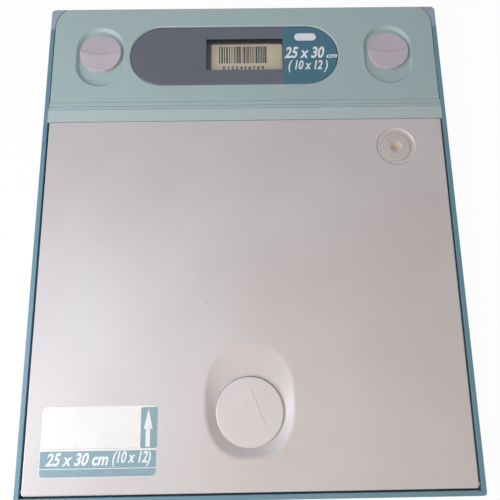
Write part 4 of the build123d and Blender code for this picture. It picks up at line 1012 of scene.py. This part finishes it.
def screws_for(node_name, tree, foot_r, top_r, head_h, facing_up):
    """Replaces a node of screws. Each head's foot lies on its seat, and the shank fills the rest."""
    boxes = solid_boxes(node_name)
    places = []
    for low, high in boxes:
        seat = high.z - head_h * MM if facing_up else low.z + head_h * MM
        places.append(((low.x + high.x) / 2, (low.y + high.y) / 2, seat))
    shank = boxes[0][1].z - boxes[0][0].z - head_h * MM
    mesh = run_tree(tree, {
        "Head Foot Radius": foot_r * MM, "Head Top Radius": top_r * MM, "Head Height": head_h * MM,
        "Shank Length": shank, "Turn": (0, 0, 0) if facing_up else (math.pi, 0, 0)}, places)
    stand_in(node_name + "_cross_head", mesh, zinc, node_name, "bright_steel")
    print(node_name, len(places), "screws,", len(mesh.polygons), "faces")


cross_head = screw_tree()
screws_for("frame_screws", cross_head, foot_r=1.68, top_r=1.3, head_h=0.8, facing_up=True)
screws_for("keeper_screws", cross_head, foot_r=0.9, top_r=1.68, head_h=0.78, facing_up=True)
screws_for("cover_screws", cross_head, foot_r=0.9, top_r=1.38, head_h=0.48, facing_up=False)

# %% [markdown]
# ## Coil springs
#
# Each lock has a small spring behind it, and the round disc stands on a wide one. A spring is the plainest
# shape that follows a rule: a circle carried along a helix. In the tree, Spiral gives the helix with an even
# number of pieces to each turn, and Curve to Mesh carries the wire's circle along it. A spring can't follow
# two bodies at once, so each coil moves with the body of its node.

# %% Spring tree
TURN_STEPS = 24
WIRE_SIDES = 8
LOCK_WIRE_MM, LOCK_TURNS, LOCK_TRAVEL_MM = 0.2, 7.0, 7.0
DISC_WIRE_MM, DISC_TURNS, DISC_TRAVEL_MM = 0.3, 2.0, 0.8


def spring_tree():
    tree, given = new_tree("coil_spring", {
        "Radius": ("float", 0.001), "Wire": ("float", 0.0002), "Turns": ("float", 6.0),
        "Length": ("float", 0.01), "Start": ("vector", (0, 0, 0)), "Turn": ("vector", (0, 0, 0))})
    helix = add_node(tree, "GeometryNodeCurveSpiral", {
        "Resolution": TURN_STEPS, "Rotations": given["Turns"], "Start Radius": given["Radius"],
        "End Radius": given["Radius"], "Height": given["Length"]})
    round_section = {"Resolution": WIRE_SIDES, "Radius": given["Wire"]}
    ring = add_node(tree, "GeometryNodeCurvePrimitiveCircle", round_section)
    wire = add_node(tree, "GeometryNodeCurveToMesh", {
        "Curve": helix.outputs[0], "Profile Curve": ring.outputs[0], "Fill Caps": True})
    round_wire = add_node(tree, "GeometryNodeSetShadeSmooth", {0: wire.outputs[0]}).outputs[0]
    placed = add_node(tree, "GeometryNodeTransform", {
        0: round_wire, "Translation": given["Start"], "Rotation": given["Turn"]})
    finish_tree(tree, placed.outputs[0], spring_steel)
    return tree


def spring_for(node_name, tree, values):
    """Replaces a spring's node by a round-wire coil on the same body."""
    mesh = run_tree(tree, values)
    piece = stand_in(node_name + "_coil", mesh, spring_steel, node_name, "bright_steel")
    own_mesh(piece)
    print(node_name, len(mesh.polygons), "faces")


coil = spring_tree()
for side in ("left", "right"):
    low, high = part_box(side + "_lock_spring")
    wire = LOCK_WIRE_MM * MM
    start = Vector(((low.x + high.x) / 2, high.y - wire, (low.z + high.z) / 2))
    values = {"Radius": (high.x - low.x) / 2 - wire, "Wire": wire, "Turns": LOCK_TURNS,
              "Length": high.y - low.y - 2 * wire, "Start": start, "Turn": (math.pi / 2, 0, 0)}
    spring_for(side + "_lock_spring", coil, values)

low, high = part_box("centre_button_spring")
wire = DISC_WIRE_MM * MM
start = Vector(((low.x + high.x) / 2, (low.y + high.y) / 2, low.z + wire))
values = {"Radius": (high.x - low.x) / 2 - wire, "Wire": wire, "Turns": DISC_TURNS,
          "Length": high.z - low.z - 2 * wire, "Start": start}
spring_for("centre_button_spring", coil, values)
